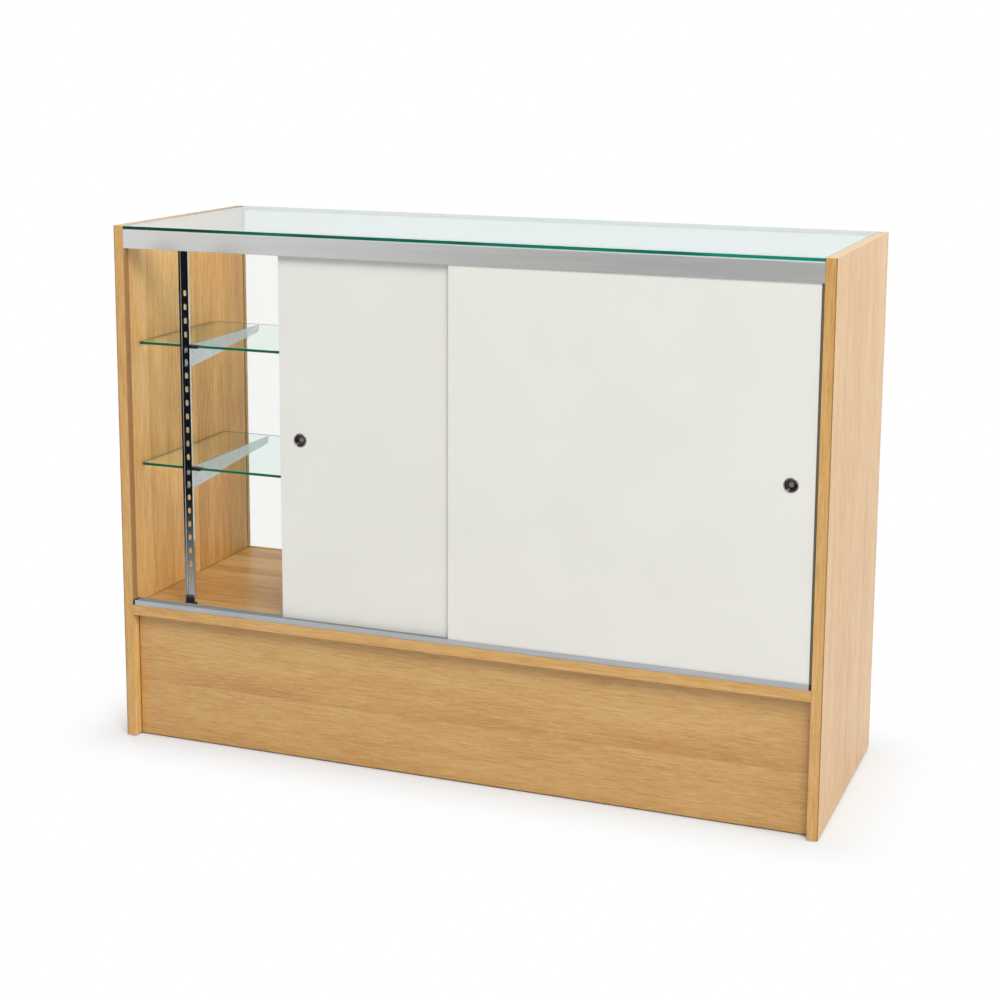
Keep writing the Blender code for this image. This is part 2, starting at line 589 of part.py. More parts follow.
def make_standards(steel, foot_plastic, zinc):
    """Slotted channels with their open side to the service side, on feet, screwed to the rail's leg."""
    half = STANDARD_WIDTH / 2
    web = STANDARD_BACK - STANDARD_WALL
    for side, sign in SIDES:
        centre = sign * STANDARD_X
        profile = [(-half, STANDARD_FACE), (-half, STANDARD_BACK), (half, STANDARD_BACK),
                   (half, STANDARD_FACE), (half - STANDARD_WALL, STANDARD_FACE), (half - STANDARD_WALL, web),
                   (STANDARD_WALL - half, web), (STANDARD_WALL - half, STANDARD_FACE)]
        corners = [(centre + across, at_offset(offset), FOOT_TOP + FIT) for across, offset in profile]
        channel = outline(corners, (0.0, 0.0, STANDARD_TOP - FOOT_TOP - FIT))
        standard = add_piece(f"{side}_standard", channel, steel)

        slots = bmesh.new()
        straight = (SLOT_HEIGHT - SLOT_WIDTH) / 2
        for index in range(SLOT_COUNT):
            middle = slot_z(index)
            rim = arc(0.0, straight, SLOT_WIDTH / 2, 0.0, 180.0, FINE_ARC_STEPS)
            rim += arc(0.0, -straight, SLOT_WIDTH / 2, 180.0, 360.0, FINE_ARC_STEPS)
            corners = [(centre + a, at_offset(STANDARD_BACK + OVERSHOOT), middle + b) for a, b in rim]
            add_outline(slots, corners, (0.0, -STANDARD_WALL - 2 * OVERSHOOT, 0.0))
        add_rod(slots, (centre, at_offset(web - OVERSHOOT), SCREW_Z),
                (centre, at_offset(STANDARD_BACK + OVERSHOOT), SCREW_Z), SCREW_RADIUS + FIT)
        shape_with(standard, f"{side}_standard_slots_cut", slots, 'DIFFERENCE')

        make_standard_foot(side, centre, foot_plastic)
        make_standard_screw(side, centre, zinc)


def make_standard_foot(side, centre, foot_plastic):
    """Shoe under an upright, with a plug that fills the end of the channel."""
    half = STANDARD_WIDTH / 2
    shoe = box((centre - half - FOOT_LIP, at_offset(STANDARD_FACE - FOOT_LIP), DECK_TOP + FIT),
               (centre + half + FOOT_LIP, at_offset(STANDARD_BACK + FOOT_LIP), FOOT_TOP), BOARD_EDGE)
    foot = add_piece(f"{side}_standard_foot", shoe, foot_plastic)
    plug_half = half - STANDARD_WALL - FIT
    plug = box((centre - plug_half, at_offset(STANDARD_FACE + FIT), FOOT_TOP - FOOT_HEIGHT / 2),
               (centre + plug_half, at_offset(STANDARD_BACK - STANDARD_WALL - FIT), FOOT_TOP + FOOT_PLUG))
    shape_with(foot, f"{side}_standard_foot_plug_join", plug, 'UNION')


def make_standard_screw(side, centre, zinc):
    """Pan-head screw through an upright's web into the leg of the rail."""
    reach = STANDARD_BACK + FIT - RAIL_LEG_FACE + SCREW_TIP
    profile = [(0.0, 0.0), (SCREW_RADIUS, 0.0), (SCREW_RADIUS, reach), (SCREW_HEAD_RADIUS, reach),
               (SCREW_HEAD_RADIUS, reach + SCREW_HEAD / 2), (SCREW_HEAD_RADIUS / 2, reach + SCREW_HEAD),
               (0.0, reach + SCREW_HEAD)]
    tip = (centre, at_offset(RAIL_LEG_FACE - SCREW_TIP), SCREW_Z)
    screw = turned(profile, SMALL_ROUND_STEPS, facing((0.0, 1.0, 0.0), tip))
    add_piece(f"{side}_standard_screw", screw, zinc, smooth=True)


def hook(slot):
    """Outline of a bracket's hook through one slot, from the root downwards, as (offset, height) pairs."""
    root = STANDARD_BACK + FIT
    behind = STANDARD_BACK - STANDARD_WALL - FIT
    radius = SLOT_WIDTH / 2
    seat = radius - math.sqrt(radius ** 2 - (BRACKET_THICKNESS / 2 + FIT) ** 2)
    bottom = slot_z(slot) - SLOT_HEIGHT / 2 + seat + FIT
    top = bottom + HOOK_HEIGHT
    return [(root, top), (behind - HOOK_THICKNESS, top), (behind - HOOK_THICKNESS, bottom - HOOK_DROP),
            (behind, bottom - HOOK_DROP), (behind, bottom), (root, bottom)]


def make_brackets(steel, rubber):
    """Tapered arms hooked into the uprights, each with a clip for the edge of the shelf."""
    root = STANDARD_BACK + FIT
    pad_end = SHELF_EDGE + CLIP_PAD_DEPTH
    for level, slot, depth in shelves():
        top = slot_z(slot) + BRACKET_RISE
        seat = top - CLIP_PAD - FIT
        tip = SHELF_EDGE + depth - BRACKET_SETBACK
        nose_z = top - BRACKET_TIP + BRACKET_TIP_ROUND
        nose = arc(tip - BRACKET_TIP_ROUND, nose_z, BRACKET_TIP_ROUND, 0.0, -90.0)
        profile = [(root, seat), (pad_end + FIT, seat), (pad_end + FIT, top), (tip, top)] + nose
        profile += [(root, top - BRACKET_ROOT)] + hook(slot + 1)[::-1] + hook(slot)[::-1]
        for side, sign in SIDES:
            centre = sign * STANDARD_X
            left_face = centre - BRACKET_THICKNESS / 2
            corners = [(left_face, at_offset(offset), height) for offset, height in profile]
            arm = outline(corners, (BRACKET_THICKNESS, 0.0, 0.0))
            bracket = add_piece(f"{level}_{side}_bracket", arm, steel)
            hole = bmesh.new()
            hole_y = at_offset(root + BRACKET_HOLE_REACH)
            hole_z = top - BRACKET_HOLE_DROP
            add_rod(hole, (left_face - OVERSHOOT, hole_y, hole_z),
                    (left_face + BRACKET_THICKNESS + OVERSHOOT, hole_y, hole_z), BRACKET_HOLE_RADIUS)
            shape_with(bracket, f"{level}_{side}_bracket_hole_cut", hole, 'DIFFERENCE')

            low_x, high_x = sorted((centre + sign * CLIP_OUTER_REACH, centre - sign * CLIP_INNER_REACH))
            pad = seat + FIT
            shelf_top = top + FIT + SHELF_GLASS
            shape = [(root, pad), (pad_end, pad), (pad_end, pad + CLIP_PAD),
                     (root + CLIP_STOP, pad + CLIP_PAD), (root + CLIP_STOP, shelf_top), (root, shelf_top)]
            corners = [(low_x, at_offset(offset), height) for offset, height in shape]
            clip = outline(corners, (high_x - low_x, 0.0, 0.0))
            add_piece(f"{level}_{side}_shelf_clip", clip, rubber)


def pull_profile():
    """Profile of a finger cup: flange, wall and floor, as (radius, depth behind the flange's face) pairs."""
    inner = PULL_CUP_RADIUS - PULL_WALL
    floor = PULL_DEPTH - PULL_WALL
    back_edge = PULL_DEPTH - PULL_ROUND
    outside = arc(PULL_CUP_RADIUS - PULL_ROUND, back_edge, PULL_ROUND, 90.0, 0.0, FINE_ARC_STEPS)
    inside = arc(inner - PULL_ROUND, floor - PULL_ROUND, PULL_ROUND, 0.0, 90.0, FINE_ARC_STEPS)
    rim = arc(PULL_FLANGE_RADIUS - PULL_FLANGE, PULL_FLANGE, PULL_FLANGE, 0.0, -90.0, FINE_ARC_STEPS)
    return ([(0.0, PULL_DEPTH)] + outside + [(PULL_CUP_RADIUS, PULL_FLANGE)] + rim + [(inner, 0.0)] + inside
            + [(0.0, floor)])


def make_doors(hardboard, chrome):
    """Two thin doors, each with a round finger cup near its outer edge, on the lines they slide along."""
    closed = DOOR_STOP - DOOR_WIDTH / 2
    doors = (("left", INNER_DOOR_OFFSET, -closed + LEFT_DOOR_OPEN, -1),
             ("right", OUTER_DOOR_OFFSET, closed, 1))
    for side, offset, centre, sign in doors:
        slide = add_empty(f"{side}_door_slide", (centre, at_offset(offset), DOOR_BOTTOM))
        half = DOOR_WIDTH / 2
        face = offset - DOOR_THICKNESS / 2
        sheet = box((centre - half, at_offset(face), DOOR_BOTTOM),
                    (centre + half, at_offset(face + DOOR_THICKNESS), DOOR_TOP), DOOR_EDGE)
        door = add_piece(f"{side}_door", sheet, hardboard, origin=slide.location, parent=slide)

        pull_x = centre + sign * (half - PULL_INSET)
        pull_z = (TRACK_TOP + RAIL_BOTTOM) / 2
        hole = bmesh.new()
        hole_end = at_offset(face + DOOR_THICKNESS + OVERSHOOT)
        add_rod(hole, (pull_x, at_offset(face - OVERSHOOT), pull_z), (pull_x, hole_end, pull_z),
                PULL_CUP_RADIUS + FIT, ROUND_STEPS)
        shape_with(door, f"{side}_door_hole_cut", hole, 'DIFFERENCE', origin=slide.location)

        front = (pull_x, at_offset(face - FIT - PULL_FLANGE), pull_z)
        cup = turned(pull_profile(), ROUND_STEPS, facing((0.0, 1.0, 0.0), front))
        add_piece(f"{side}_door_pull", cup, chrome, origin=slide.location, parent=slide, smooth=True)


def make_case():
    """Build the whole case, from the boards outwards."""
    clear_scene()
    oak = finish("oak laminate", (0.61, 0.38, 0.14), 0.45)
    band = finish("oak edge band", (0.65, 0.39, 0.13), 0.45)
    glass = finish("clear float glass", (0.60, 0.80, 0.72), 0.03, transmission=0.9)
    vinyl = finish("clear vinyl", (0.80, 0.84, 0.82), 0.25, transmission=0.7)
    aluminium = finish("satin aluminium", (0.60, 0.60, 0.59), 0.35, metallic=1.0)
    bright_zinc = finish("bright zinc plated steel", (0.52, 0.53, 0.54), 0.15, metallic=1.0)
    zinc = finish("zinc plated steel", (0.55, 0.56, 0.57), 0.4, metallic=1.0)
    nickel = finish("nickel glide", (0.25, 0.25, 0.25), 0.35, metallic=1.0)
    hardboard = finish("off-white lacquered hardboard", (0.77, 0.75, 0.69), 0.5)
    chrome = finish("dark chrome", (0.20, 0.20, 0.20), 0.15, metallic=1.0)
    rubber = finish("black rubber", (0.02, 0.02, 0.02), 0.6)
    felt = finish("brown felt", (0.40, 0.22, 0.10), 0.95)
    make_side_panels(oak, band)
    make_floor_glides(nickel)
    make_deck(oak, band)
    make_kick_panels(oak)
    make_fittings(zinc)
    make_top_rail(aluminium)
    make_rail_clips(zinc)
    make_bottom_track(aluminium, rubber)
    make_door_felts(felt)
    make_top_glass(glass)
    make_front_glass(glass, vinyl)
    make_shelves(glass)
    make_standards(bright_zinc, rubber, zinc)
    make_brackets(bright_zinc, rubber)
    make_doors(hardboard, chrome)


make_case()
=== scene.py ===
# %% [markdown]
# # A counter-height glass display case
#
# The real object is a shop case: two oak-look boards stand at its ends, a deck and two kick boards tie
# them together, glass closes the top and the customer's side, and two thin doors slide in aluminium
# channels on the service side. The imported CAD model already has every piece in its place. This file
# dresses it: it gives each piece its finish, makes the pieces whose small shapes the eye looks for, and
# lights them.

import math

import bpy
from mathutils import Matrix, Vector


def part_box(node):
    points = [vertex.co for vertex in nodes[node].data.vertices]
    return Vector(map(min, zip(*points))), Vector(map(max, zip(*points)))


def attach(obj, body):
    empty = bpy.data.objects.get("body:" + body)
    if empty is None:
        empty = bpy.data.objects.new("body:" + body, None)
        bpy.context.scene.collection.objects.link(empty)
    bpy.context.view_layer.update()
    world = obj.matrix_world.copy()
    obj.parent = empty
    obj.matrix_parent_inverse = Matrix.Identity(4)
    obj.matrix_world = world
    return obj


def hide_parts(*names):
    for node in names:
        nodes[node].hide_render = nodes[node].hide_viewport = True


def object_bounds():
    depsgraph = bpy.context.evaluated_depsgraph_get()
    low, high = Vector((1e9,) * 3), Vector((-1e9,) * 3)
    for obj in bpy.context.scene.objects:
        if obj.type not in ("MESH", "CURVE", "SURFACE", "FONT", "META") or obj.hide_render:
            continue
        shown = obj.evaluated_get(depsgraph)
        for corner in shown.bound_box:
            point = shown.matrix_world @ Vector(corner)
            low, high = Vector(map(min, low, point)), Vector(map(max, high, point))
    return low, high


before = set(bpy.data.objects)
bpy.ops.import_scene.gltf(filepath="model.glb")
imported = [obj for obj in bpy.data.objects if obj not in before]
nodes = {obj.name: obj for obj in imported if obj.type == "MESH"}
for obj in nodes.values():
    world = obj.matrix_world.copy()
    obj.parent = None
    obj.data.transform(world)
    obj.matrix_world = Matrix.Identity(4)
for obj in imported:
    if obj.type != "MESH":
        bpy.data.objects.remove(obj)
cad_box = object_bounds()
MM = 0.001
SIDES = ("left", "right")
LEVELS = ("upper", "lower")
FACES = ("service", "customer")

# %% [markdown]
# ## A few small helpers
#
# Colours are easier to read as the hex values of a paint chart, but shaders work with linear light, so one
# function turns the one into the other. Shader trees are lists of nodes with settings and links, so one
# function adds a node with both. A socket goes by its name, or by its number where its name is shared: a
# Map Range takes a value, the two ends it comes from and the two ends it goes to, as 0 to 4, and a colour
# Mix takes its share as 0 and its two colours as 6 and 7. Two more functions put a finish on a CAD node,
# and let a modelled piece stand for one.

# %% Helpers for colours, shader nodes and finishes
def linear(chart):
    """The linear colour, with alpha 1, of a hex value such as #cfa76b."""
    parts = [int(chart[at:at + 2], 16) / 255 for at in (1, 3, 5)]
    light = [part / 12.92 if part <= 0.04045 else ((part + 0.055) / 1.055) ** 2.4 for part in parts]
    return (*light, 1.0)


def add_node(tree, kind, inputs=None, **settings):
    """Add one node: settings are its properties, inputs are values or the sockets that feed it."""
    node = tree.nodes.new("ShaderNode" + kind)
    for name, value in settings.items():
        setattr(node, name, value)
    for socket, value in (inputs or {}).items():
        if isinstance(value, bpy.types.NodeSocket):
            tree.links.new(value, node.inputs[socket])
        else:
            node.inputs[socket].default_value = value
    return node


def new_material(name, **fixed):
    """A material with its Principled shader, and the numbers that are the same all over its surface."""
    material = bpy.data.materials.new(name)
    material.use_nodes = True
    shader = material.node_tree.nodes["Principled BSDF"]
    for socket, value in fixed.items():
        shader.inputs[socket.replace("_", " ")].default_value = value
    return material, material.node_tree, shader


def dress(material, *names):
    """Put one finish on CAD nodes."""
    for name in names:
        slots = nodes[name].data.materials
        slots.clear()
        slots.append(material)


def stand_in(piece, node, slot, *finishes, body="case"):
    """Let a modelled piece stand for a CAD node: its finishes and the body it rides on. Its slot is not
    used.
    """
    piece.data.materials.clear()
    for material in finishes:
        piece.data.materials.append(material)
    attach(piece, body)
    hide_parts(node)


print("oak mid tone in linear light:", [round(part, 3) for part in linear("#cfa76b")[:3]])

# %% [markdown]
# ## The camera
#
# The case was photographed from its service side, from the right and a little above, with a normal lens.
# The place, the turn and the lens come from fitting the corners of the case. The frame is shifted a
# little, as a view camera's is, so that the upright edges stay nearly upright.

# %% Camera
TILT_DOWN, ROLL, TURN = 9.512, -0.309, 21.159

camera_data = bpy.data.cameras.new("view camera")
camera_data.lens = 68.45
camera_data.shift_y = -0.14
camera = bpy.data.objects.new("view camera", camera_data)
camera.location = (1.2347, -3.1873, 1.3027)
camera.rotation_euler = [math.radians(angle) for angle in (90 - TILT_DOWN, ROLL, TURN)]
bpy.context.scene.collection.objects.link(camera)
bpy.context.scene.camera = camera
print("camera at", tuple(round(part, 3) for part in camera.location), "lens", camera_data.lens)

# %% [markdown]
# ## The studio
#
# A plain pale floor and even light from all sides are the start. A broad lamp far off in front, high up
# and to the right, gives the rail, the deck and the doors their soft shadows and reaches into the open
# end. It is aimed far to the left of the case, so that the near end gets no more of it than the far end. A
# weak one, too low to shine in through the glass top, opens the right side, and two weak ones light the
# back. The surroundings are white to the eye, to metal and to glass, and dimmer to everything else, so the
# white comes from the backdrop and not from more light on the case.

# %% Surroundings and lamps
SURROUND_LIGHT = 0.34
WHITE = linear("#ffffff")

scene = bpy.context.scene
scene.view_settings.view_transform = 'Standard'
world = bpy.data.worlds.new("white surroundings")
world.use_nodes = True
scene.world = world


def seen_rays(tree):
    """A socket that is 1 for what the eye, metal and glass see, and 0 for the light that falls on things."""
    rays = add_node(tree, "LightPath")
    direct = add_node(tree, "Math", {0: rays.outputs["Is Camera Ray"], 1: rays.outputs["Is Glossy Ray"]},
                      operation='ADD')
    every = add_node(tree, "Math", {0: direct.outputs[0], 1: rays.outputs["Is Transmission Ray"]},
                     operation='ADD', use_clamp=True)
    return every.outputs[0]


tree = world.node_tree
strength = add_node(tree, "MapRange", {0: seen_rays(tree), 3: SURROUND_LIGHT, 4: 1.0})
backdrop = tree.nodes["Background"]
backdrop.inputs["Color"].default_value = WHITE
tree.links.new(strength.outputs[0], backdrop.inputs["Strength"])


def add_lamp(name, place, target, size, watts):
    """A square soft lamp that looks at a target."""
    data = bpy.data.lights.new(name, 'AREA')
    data.size = size
    data.energy = watts
    lamp = bpy.data.objects.new(name, data)
    lamp.location = place
    lamp.rotation_euler = (Vector(target) - Vector(place)).to_track_quat('-Z', 'Y').to_euler()
    scene.collection.objects.link(lamp)


add_lamp("lamp in front", (2.83, -4.93, 6.11), (-4.4, -2.6, 0.39), size=4.0, watts=505.0)
add_lamp("lamp on the right", (3.0, -0.3, 1.1), (0.0, 0.0, 0.6), size=0.8, watts=20.0)
add_lamp("lamp behind on the left", (-3.0, 2.2, 1.2), (0.0, 0.0, 0.5), size=1.0, watts=32.0)
add_lamp("lamp behind on the right", (2.5, 3.2, 1.4), (0.0, 0.0, 0.5), size=1.0, watts=14.0)

# %% [markdown]
# ## The floor
#
# The floor is white paper. Far from the case it is as white as the surroundings, so no edge of it shows.
# Close to the case it takes the light as matt paper does, so that the case stands in its own soft shadow.
# The steps say how white the paper is at each share of the way out.

# %% Paper floor with the shadow of the case
SHADE_REACH = 180 * MM
SHADE_STEPS = ((0.0, 0.0), (0.05, 0.22), (0.2, 0.43), (0.43, 0.71), (0.6, 0.86), (0.78, 0.94), (1.0, 1.0))
ANY_HEIGHT = 10.0
FOOTPRINT = (cad_box[1][0], -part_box("service_kick_panel")[0].y, ANY_HEIGHT)
FLOOR_WIDTH = 60.0

bpy.ops.object.select_all(action='DESELECT')
bpy.ops.mesh.primitive_plane_add(size=FLOOR_WIDTH)
floor = bpy.context.object
floor.name = "studio_floor"
paper = bpy.data.materials.new("white paper floor")
paper.use_nodes = True
tree = paper.node_tree
tree.nodes.clear()
place = add_node(tree, "TexCoord")
folded = add_node(tree, "VectorMath", {0: place.outputs["Object"]}, operation='ABSOLUTE')
outside = add_node(tree, "VectorMath", {0: folded.outputs[0], 1: FOOTPRINT}, operation='SUBTRACT')
outside = add_node(tree, "VectorMath", {0: outside.outputs[0], 1: (0.0, 0.0, 0.0)}, operation='MAXIMUM')
away = add_node(tree, "VectorMath", {0: outside.outputs[0]}, operation='LENGTH')
share = add_node(tree, "Math", {0: away.outputs["Value"], 1: SHADE_REACH}, operation='DIVIDE')
far = add_node(tree, "ValToRGB", {0: share.outputs[0]})
steps = far.color_ramp.elements
while len(steps) < len(SHADE_STEPS):
    steps.new(1.0)
for step, (at, level) in zip(steps, SHADE_STEPS):
    step.position = at
    step.color = (level, level, level, 1.0)
lit = add_node(tree, "Math", {0: seen_rays(tree), 1: far.outputs["Color"]}, operation='MULTIPLY')
matt = add_node(tree, "BsdfDiffuse", {"Color": linear("#eaeff3")})
white = add_node(tree, "Emission", {"Color": WHITE, "Strength": 1.0})
blend = add_node(tree, "MixShader", {0: lit.outputs[0], 1: matt.outputs[0], 2: white.outputs[0]})
add_node(tree, "OutputMaterial", {"Surface": blend.outputs[0]})
floor.data.materials.append(paper)
print("floor shade reaches", SHADE_REACH, "m from the boards")

# %% [markdown]
# ## Cards for the metal and the glass
#
# Bright metal and polished glass show what stands around them, and in an all-white room they would look
# like paper. A studio sets cards around them: here two narrow dark cards that the upright mirrors in its
# back and in its side, a low one on the camera's side for the finger cups, a grey one above it for the
# rail, and a pale cool one behind for the glass top. Only mirrors see them, and their borders are soft.

# %% Cards that only mirrors see
BLACK_GLOW = "#1d1e1f"
UPRIGHT_SOFT = (0.006, 0.01, 0.38)


def add_card(name, place, width, height, paper, soft):
    """An upright card, seen in reflections alone. Its sides, top and bottom fade over three soft widths."""
    bpy.ops.object.select_all(action='DESELECT')
    bpy.ops.mesh.primitive_plane_add(size=1.0, location=place, rotation=(math.radians(90), 0.0, 0.0))
    card = bpy.context.object
    card.name = name
    card.scale = (width, height, 1.0)
    material = bpy.data.materials.new(f"{name} paper")
    material.use_nodes = True
    tree = material.node_tree
    tree.nodes.clear()
    spot = add_node(tree, "TexCoord")
    folded = add_node(tree, "VectorMath", {0: spot.outputs["Object"]}, operation='ABSOLUTE')
    sideways = add_node(tree, "SeparateXYZ", {0: folded.outputs[0]})
    upward = add_node(tree, "SeparateXYZ", {0: spot.outputs["Object"]})
    side, top, bottom = soft[0] / width, soft[1] / height, soft[2] / height
    limits = ((sideways.outputs["X"], 0.5, 0.5 - side), (upward.outputs["Y"], 0.5, 0.5 - top),
              (upward.outputs["Y"], -0.5, bottom - 0.5))
    fades = [add_node(tree, "MapRange", {0: reach, 1: border, 2: full}, interpolation_type='SMOOTHSTEP')
             for reach, border, full in limits]
    mask = add_node(tree, "Math", {0: fades[0].outputs[0], 1: fades[1].outputs[0]}, operation='MULTIPLY')
    mask = add_node(tree, "Math", {0: mask.outputs[0], 1: fades[2].outputs[0]}, operation='MULTIPLY')
    open_way = add_node(tree, "BsdfTransparent")
    # The card glows with a set colour of its own instead of taking the lamps' light, as a painted
    # reflection.
    glow = add_node(tree, "Emission", {"Color": linear(paper), "Strength": 1.0})
    blend = add_node(tree, "MixShader", {0: mask.outputs[0], 1: open_way.outputs[0], 2: glow.outputs[0]})
    add_node(tree, "OutputMaterial", {"Surface": blend.outputs[0]})
    card.data.materials.append(material)
    card.visible_camera = False
    card.visible_diffuse = False
    card.visible_transmission = False
    card.visible_shadow = False


add_card("dark_card", (-0.598, -0.30, 0.500), 0.040, 0.86, BLACK_GLOW, UPRIGHT_SOFT)
add_card("side_card", (-0.477, -0.30, 0.500), 0.044, 0.86, BLACK_GLOW, UPRIGHT_SOFT)
add_card("low_card", (-0.35, -1.60, 0.33), 1.90, 0.44, "#3f3f40", (0.15, 0.05, 0.05))
add_card("grey_card", (0.45, -1.60, 0.84), 3.60, 0.70, "#6f6f6f", (1.5, 0.12, 0.12))
add_card("pale_card", (-2.30, 3.60, 1.30), 5.60, 2.20, "#e5eff0", (0.34, 0.13, 0.13))

# %% [markdown]
# ## Oak laminate
#
# The boards are chipboard under a printed oak laminate, pressed with a satin plate. The print shows veneer
# leaves laid side by side, each with its own tone: broad ones on the kick boards, narrow staves on the
# deck. Noise that is stretched along the grain gives clouds, streaks and lines, and counting leaves across
# the grain gives each leaf its own shift and tone. Growth rings come from the distance to the heart of
# each leaf's tree, which runs at a slight slant, so the rings close into the pointed arches of flat-sawn
# oak. The pores are under 0.5 mm wide on the real board, and are drawn at 1.5 mm so that they show in the
# picture.

# %% Oak figure: leaves, grain, pores and rings
LEAF_SHIFT = 7.0
CLOUD_SIZE = 36 * MM
STREAK_SIZE = 5 * MM
LINE_SIZE = 1.7 * MM
PORE_SIZE = 1.5 * MM
RING_SPACING = 9 * MM
HEART_SWING = 90 * MM
HEART_WANDER = 1 / 14


def oak_figure(tree, axes, along, across, leaf_width, leaf_start, leaf_tone, leaf_shade, stretch):
    """The print's tone, from dark 0 to light 1, and its lines and pores, which the finish uses too."""
    third = ({"X", "Y", "Z"} - {along, across}).pop()
    shifted = add_node(tree, "Math", {0: axes.outputs[across], 1: -leaf_start}, operation='ADD')
    counted = add_node(tree, "Math", {0: shifted.outputs[0], 1: leaf_width}, operation='DIVIDE')
    leaf = add_node(tree, "Math", {0: counted.outputs[0]}, operation='FLOOR')
    within = add_node(tree, "Math", {0: counted.outputs[0]}, operation='FRACT')
    chance = add_node(tree, "TexWhiteNoise", {"W": leaf.outputs[0]}, noise_dimensions='1D')

    run = add_node(tree, "Math", {0: axes.outputs[along], 1: 1 / stretch}, operation='MULTIPLY')
    run = add_node(tree, "Math", {0: chance.outputs["Value"], 1: LEAF_SHIFT, 2: run.outputs[0]},
                   operation='MULTIPLY_ADD')
    grain = add_node(tree, "CombineXYZ",
                     {0: axes.outputs[across], 1: axes.outputs[third], 2: run.outputs[0]})
    plump = add_node(tree, "Mapping", {"Vector": grain.outputs[0], "Scale": (1.0, 1.0, 4.0)})
    clouds = add_node(tree, "TexNoise", {"Vector": plump.outputs[0], "Scale": 1 / CLOUD_SIZE, "Detail": 3.0})
    streaks = add_node(tree, "TexNoise",
                       {"Vector": grain.outputs[0], "Scale": 1 / STREAK_SIZE, "Detail": 3.0})
    lines = add_node(tree, "TexNoise", {"Vector": grain.outputs[0], "Scale": 1 / LINE_SIZE, "Detail": 2.0})
    short = add_node(tree, "Mapping", {"Vector": grain.outputs[0], "Scale": (1.0, 1.0, 3.2)})
    pores = add_node(tree, "TexNoise", {"Vector": short.outputs[0], "Scale": 1 / PORE_SIZE, "Detail": 1.0})
    pores = add_node(tree, "MapRange", {0: pores.outputs["Fac"], 1: 0.54, 2: 0.68})

    heart = add_node(tree, "Math", {0: chance.outputs["Value"], 1: 0.8, 2: 0.1}, operation='MULTIPLY_ADD')
    sideways = add_node(tree, "Math", {0: within.outputs[0], 1: heart.outputs[0]}, operation='SUBTRACT')
    sideways = add_node(tree, "Math", {0: sideways.outputs[0], 1: leaf_width}, operation='MULTIPLY')
    slow = add_node(tree, "TexNoise", {"Vector": grain.outputs[0], "Scale": 1 / HEART_WANDER, "Detail": 1.0})
    depth = add_node(tree, "Math", {0: slow.outputs["Fac"], 1: HEART_SWING, 2: -HEART_SWING / 3},
                     operation='MULTIPLY_ADD')
    radius = add_node(tree, "CombineXYZ", {0: sideways.outputs[0], 1: depth.outputs[0]})
    radius = add_node(tree, "VectorMath", {0: radius.outputs[0]}, operation='LENGTH')
    ring = add_node(tree, "Math",
                    {0: radius.outputs["Value"], 1: 1 / RING_SPACING, 2: streaks.outputs["Fac"]},
                    operation='MULTIPLY_ADD')
    ring = add_node(tree, "Math", {0: ring.outputs[0]}, operation='FRACT')
    ring = add_node(tree, "MapRange", {0: ring.outputs[0], 1: 0.55, 2: 1.0}, interpolation_type='SMOOTHSTEP')

    tone = add_node(tree, "Math", {0: clouds.outputs["Fac"], 1: 0.42}, operation='MULTIPLY')
    for part, weight in ((streaks.outputs["Fac"], 0.22), (lines.outputs["Fac"], 0.90),
                         (ring.outputs[0], -0.06), (pores.outputs[0], -0.13)):
        tone = add_node(tree, "Math", {0: part, 1: weight, 2: tone.outputs[0]}, operation='MULTIPLY_ADD')
    rise = add_node(tree, "MapRange", {0: within.outputs[0], 1: 0.0, 2: 0.45, 3: -leaf_shade, 4: 0.03},
                    interpolation_type='SMOOTHSTEP')
    own = add_node(tree, "MapRange", {0: chance.outputs["Value"], 3: -leaf_tone, 4: leaf_tone})
    for part in (rise, own):
        tone = add_node(tree, "Math", {0: tone.outputs[0], 1: part.outputs[0]}, operation='ADD')
    tone = add_node(tree, "MapRange", {0: tone.outputs[0], 1: 0.42, 2: 1.02})
    return tone.outputs[0], lines.outputs["Fac"], pores.outputs[0]


print("oak leaves shift along the grain by up to", LEAF_SHIFT, "m before stretching")

# %% [markdown]
# ## The laminate's colours, joints and sheen
#
# Three tones, from the dark of the pores to the light of the early wood, colour the figure. Where a
# board's ends meet the side panels the joint is darkened as painted shade of the narrow gap there, and so
# is the outer corner of an upright edge strip, as painted shade where it meets the face. Both are drawn
# 3 mm wide, so that they show. The left board is darkened towards the groove that holds the front glass
# as painted shade, and a dark seam of painted shade runs along the groove. The top face of the right board
# is screened paler than its sides as painted light from above. The satin plate leaves a soft sheen, a
# little glossier on the light lines, and the pores are faintly pressed in.

# %% Oak laminate finish
GRAIN_STRETCH = 26.0
JOINT_SHADE = 3 * MM
GROOVE_SHADE = 110 * MM
GROOVE_PAINTED_SHADE = 0.34
SEAM_PAINTED_SHADE = 0.4
TOP_SKIN = 0.2 * MM
BOARD_TONES = ("#b4814a", "#cb9e63", "#dab47b")
TOP_PAINTED_LIGHT = "#ebbd82"
JOINT_SHADE_TONE = "#4a2c12"


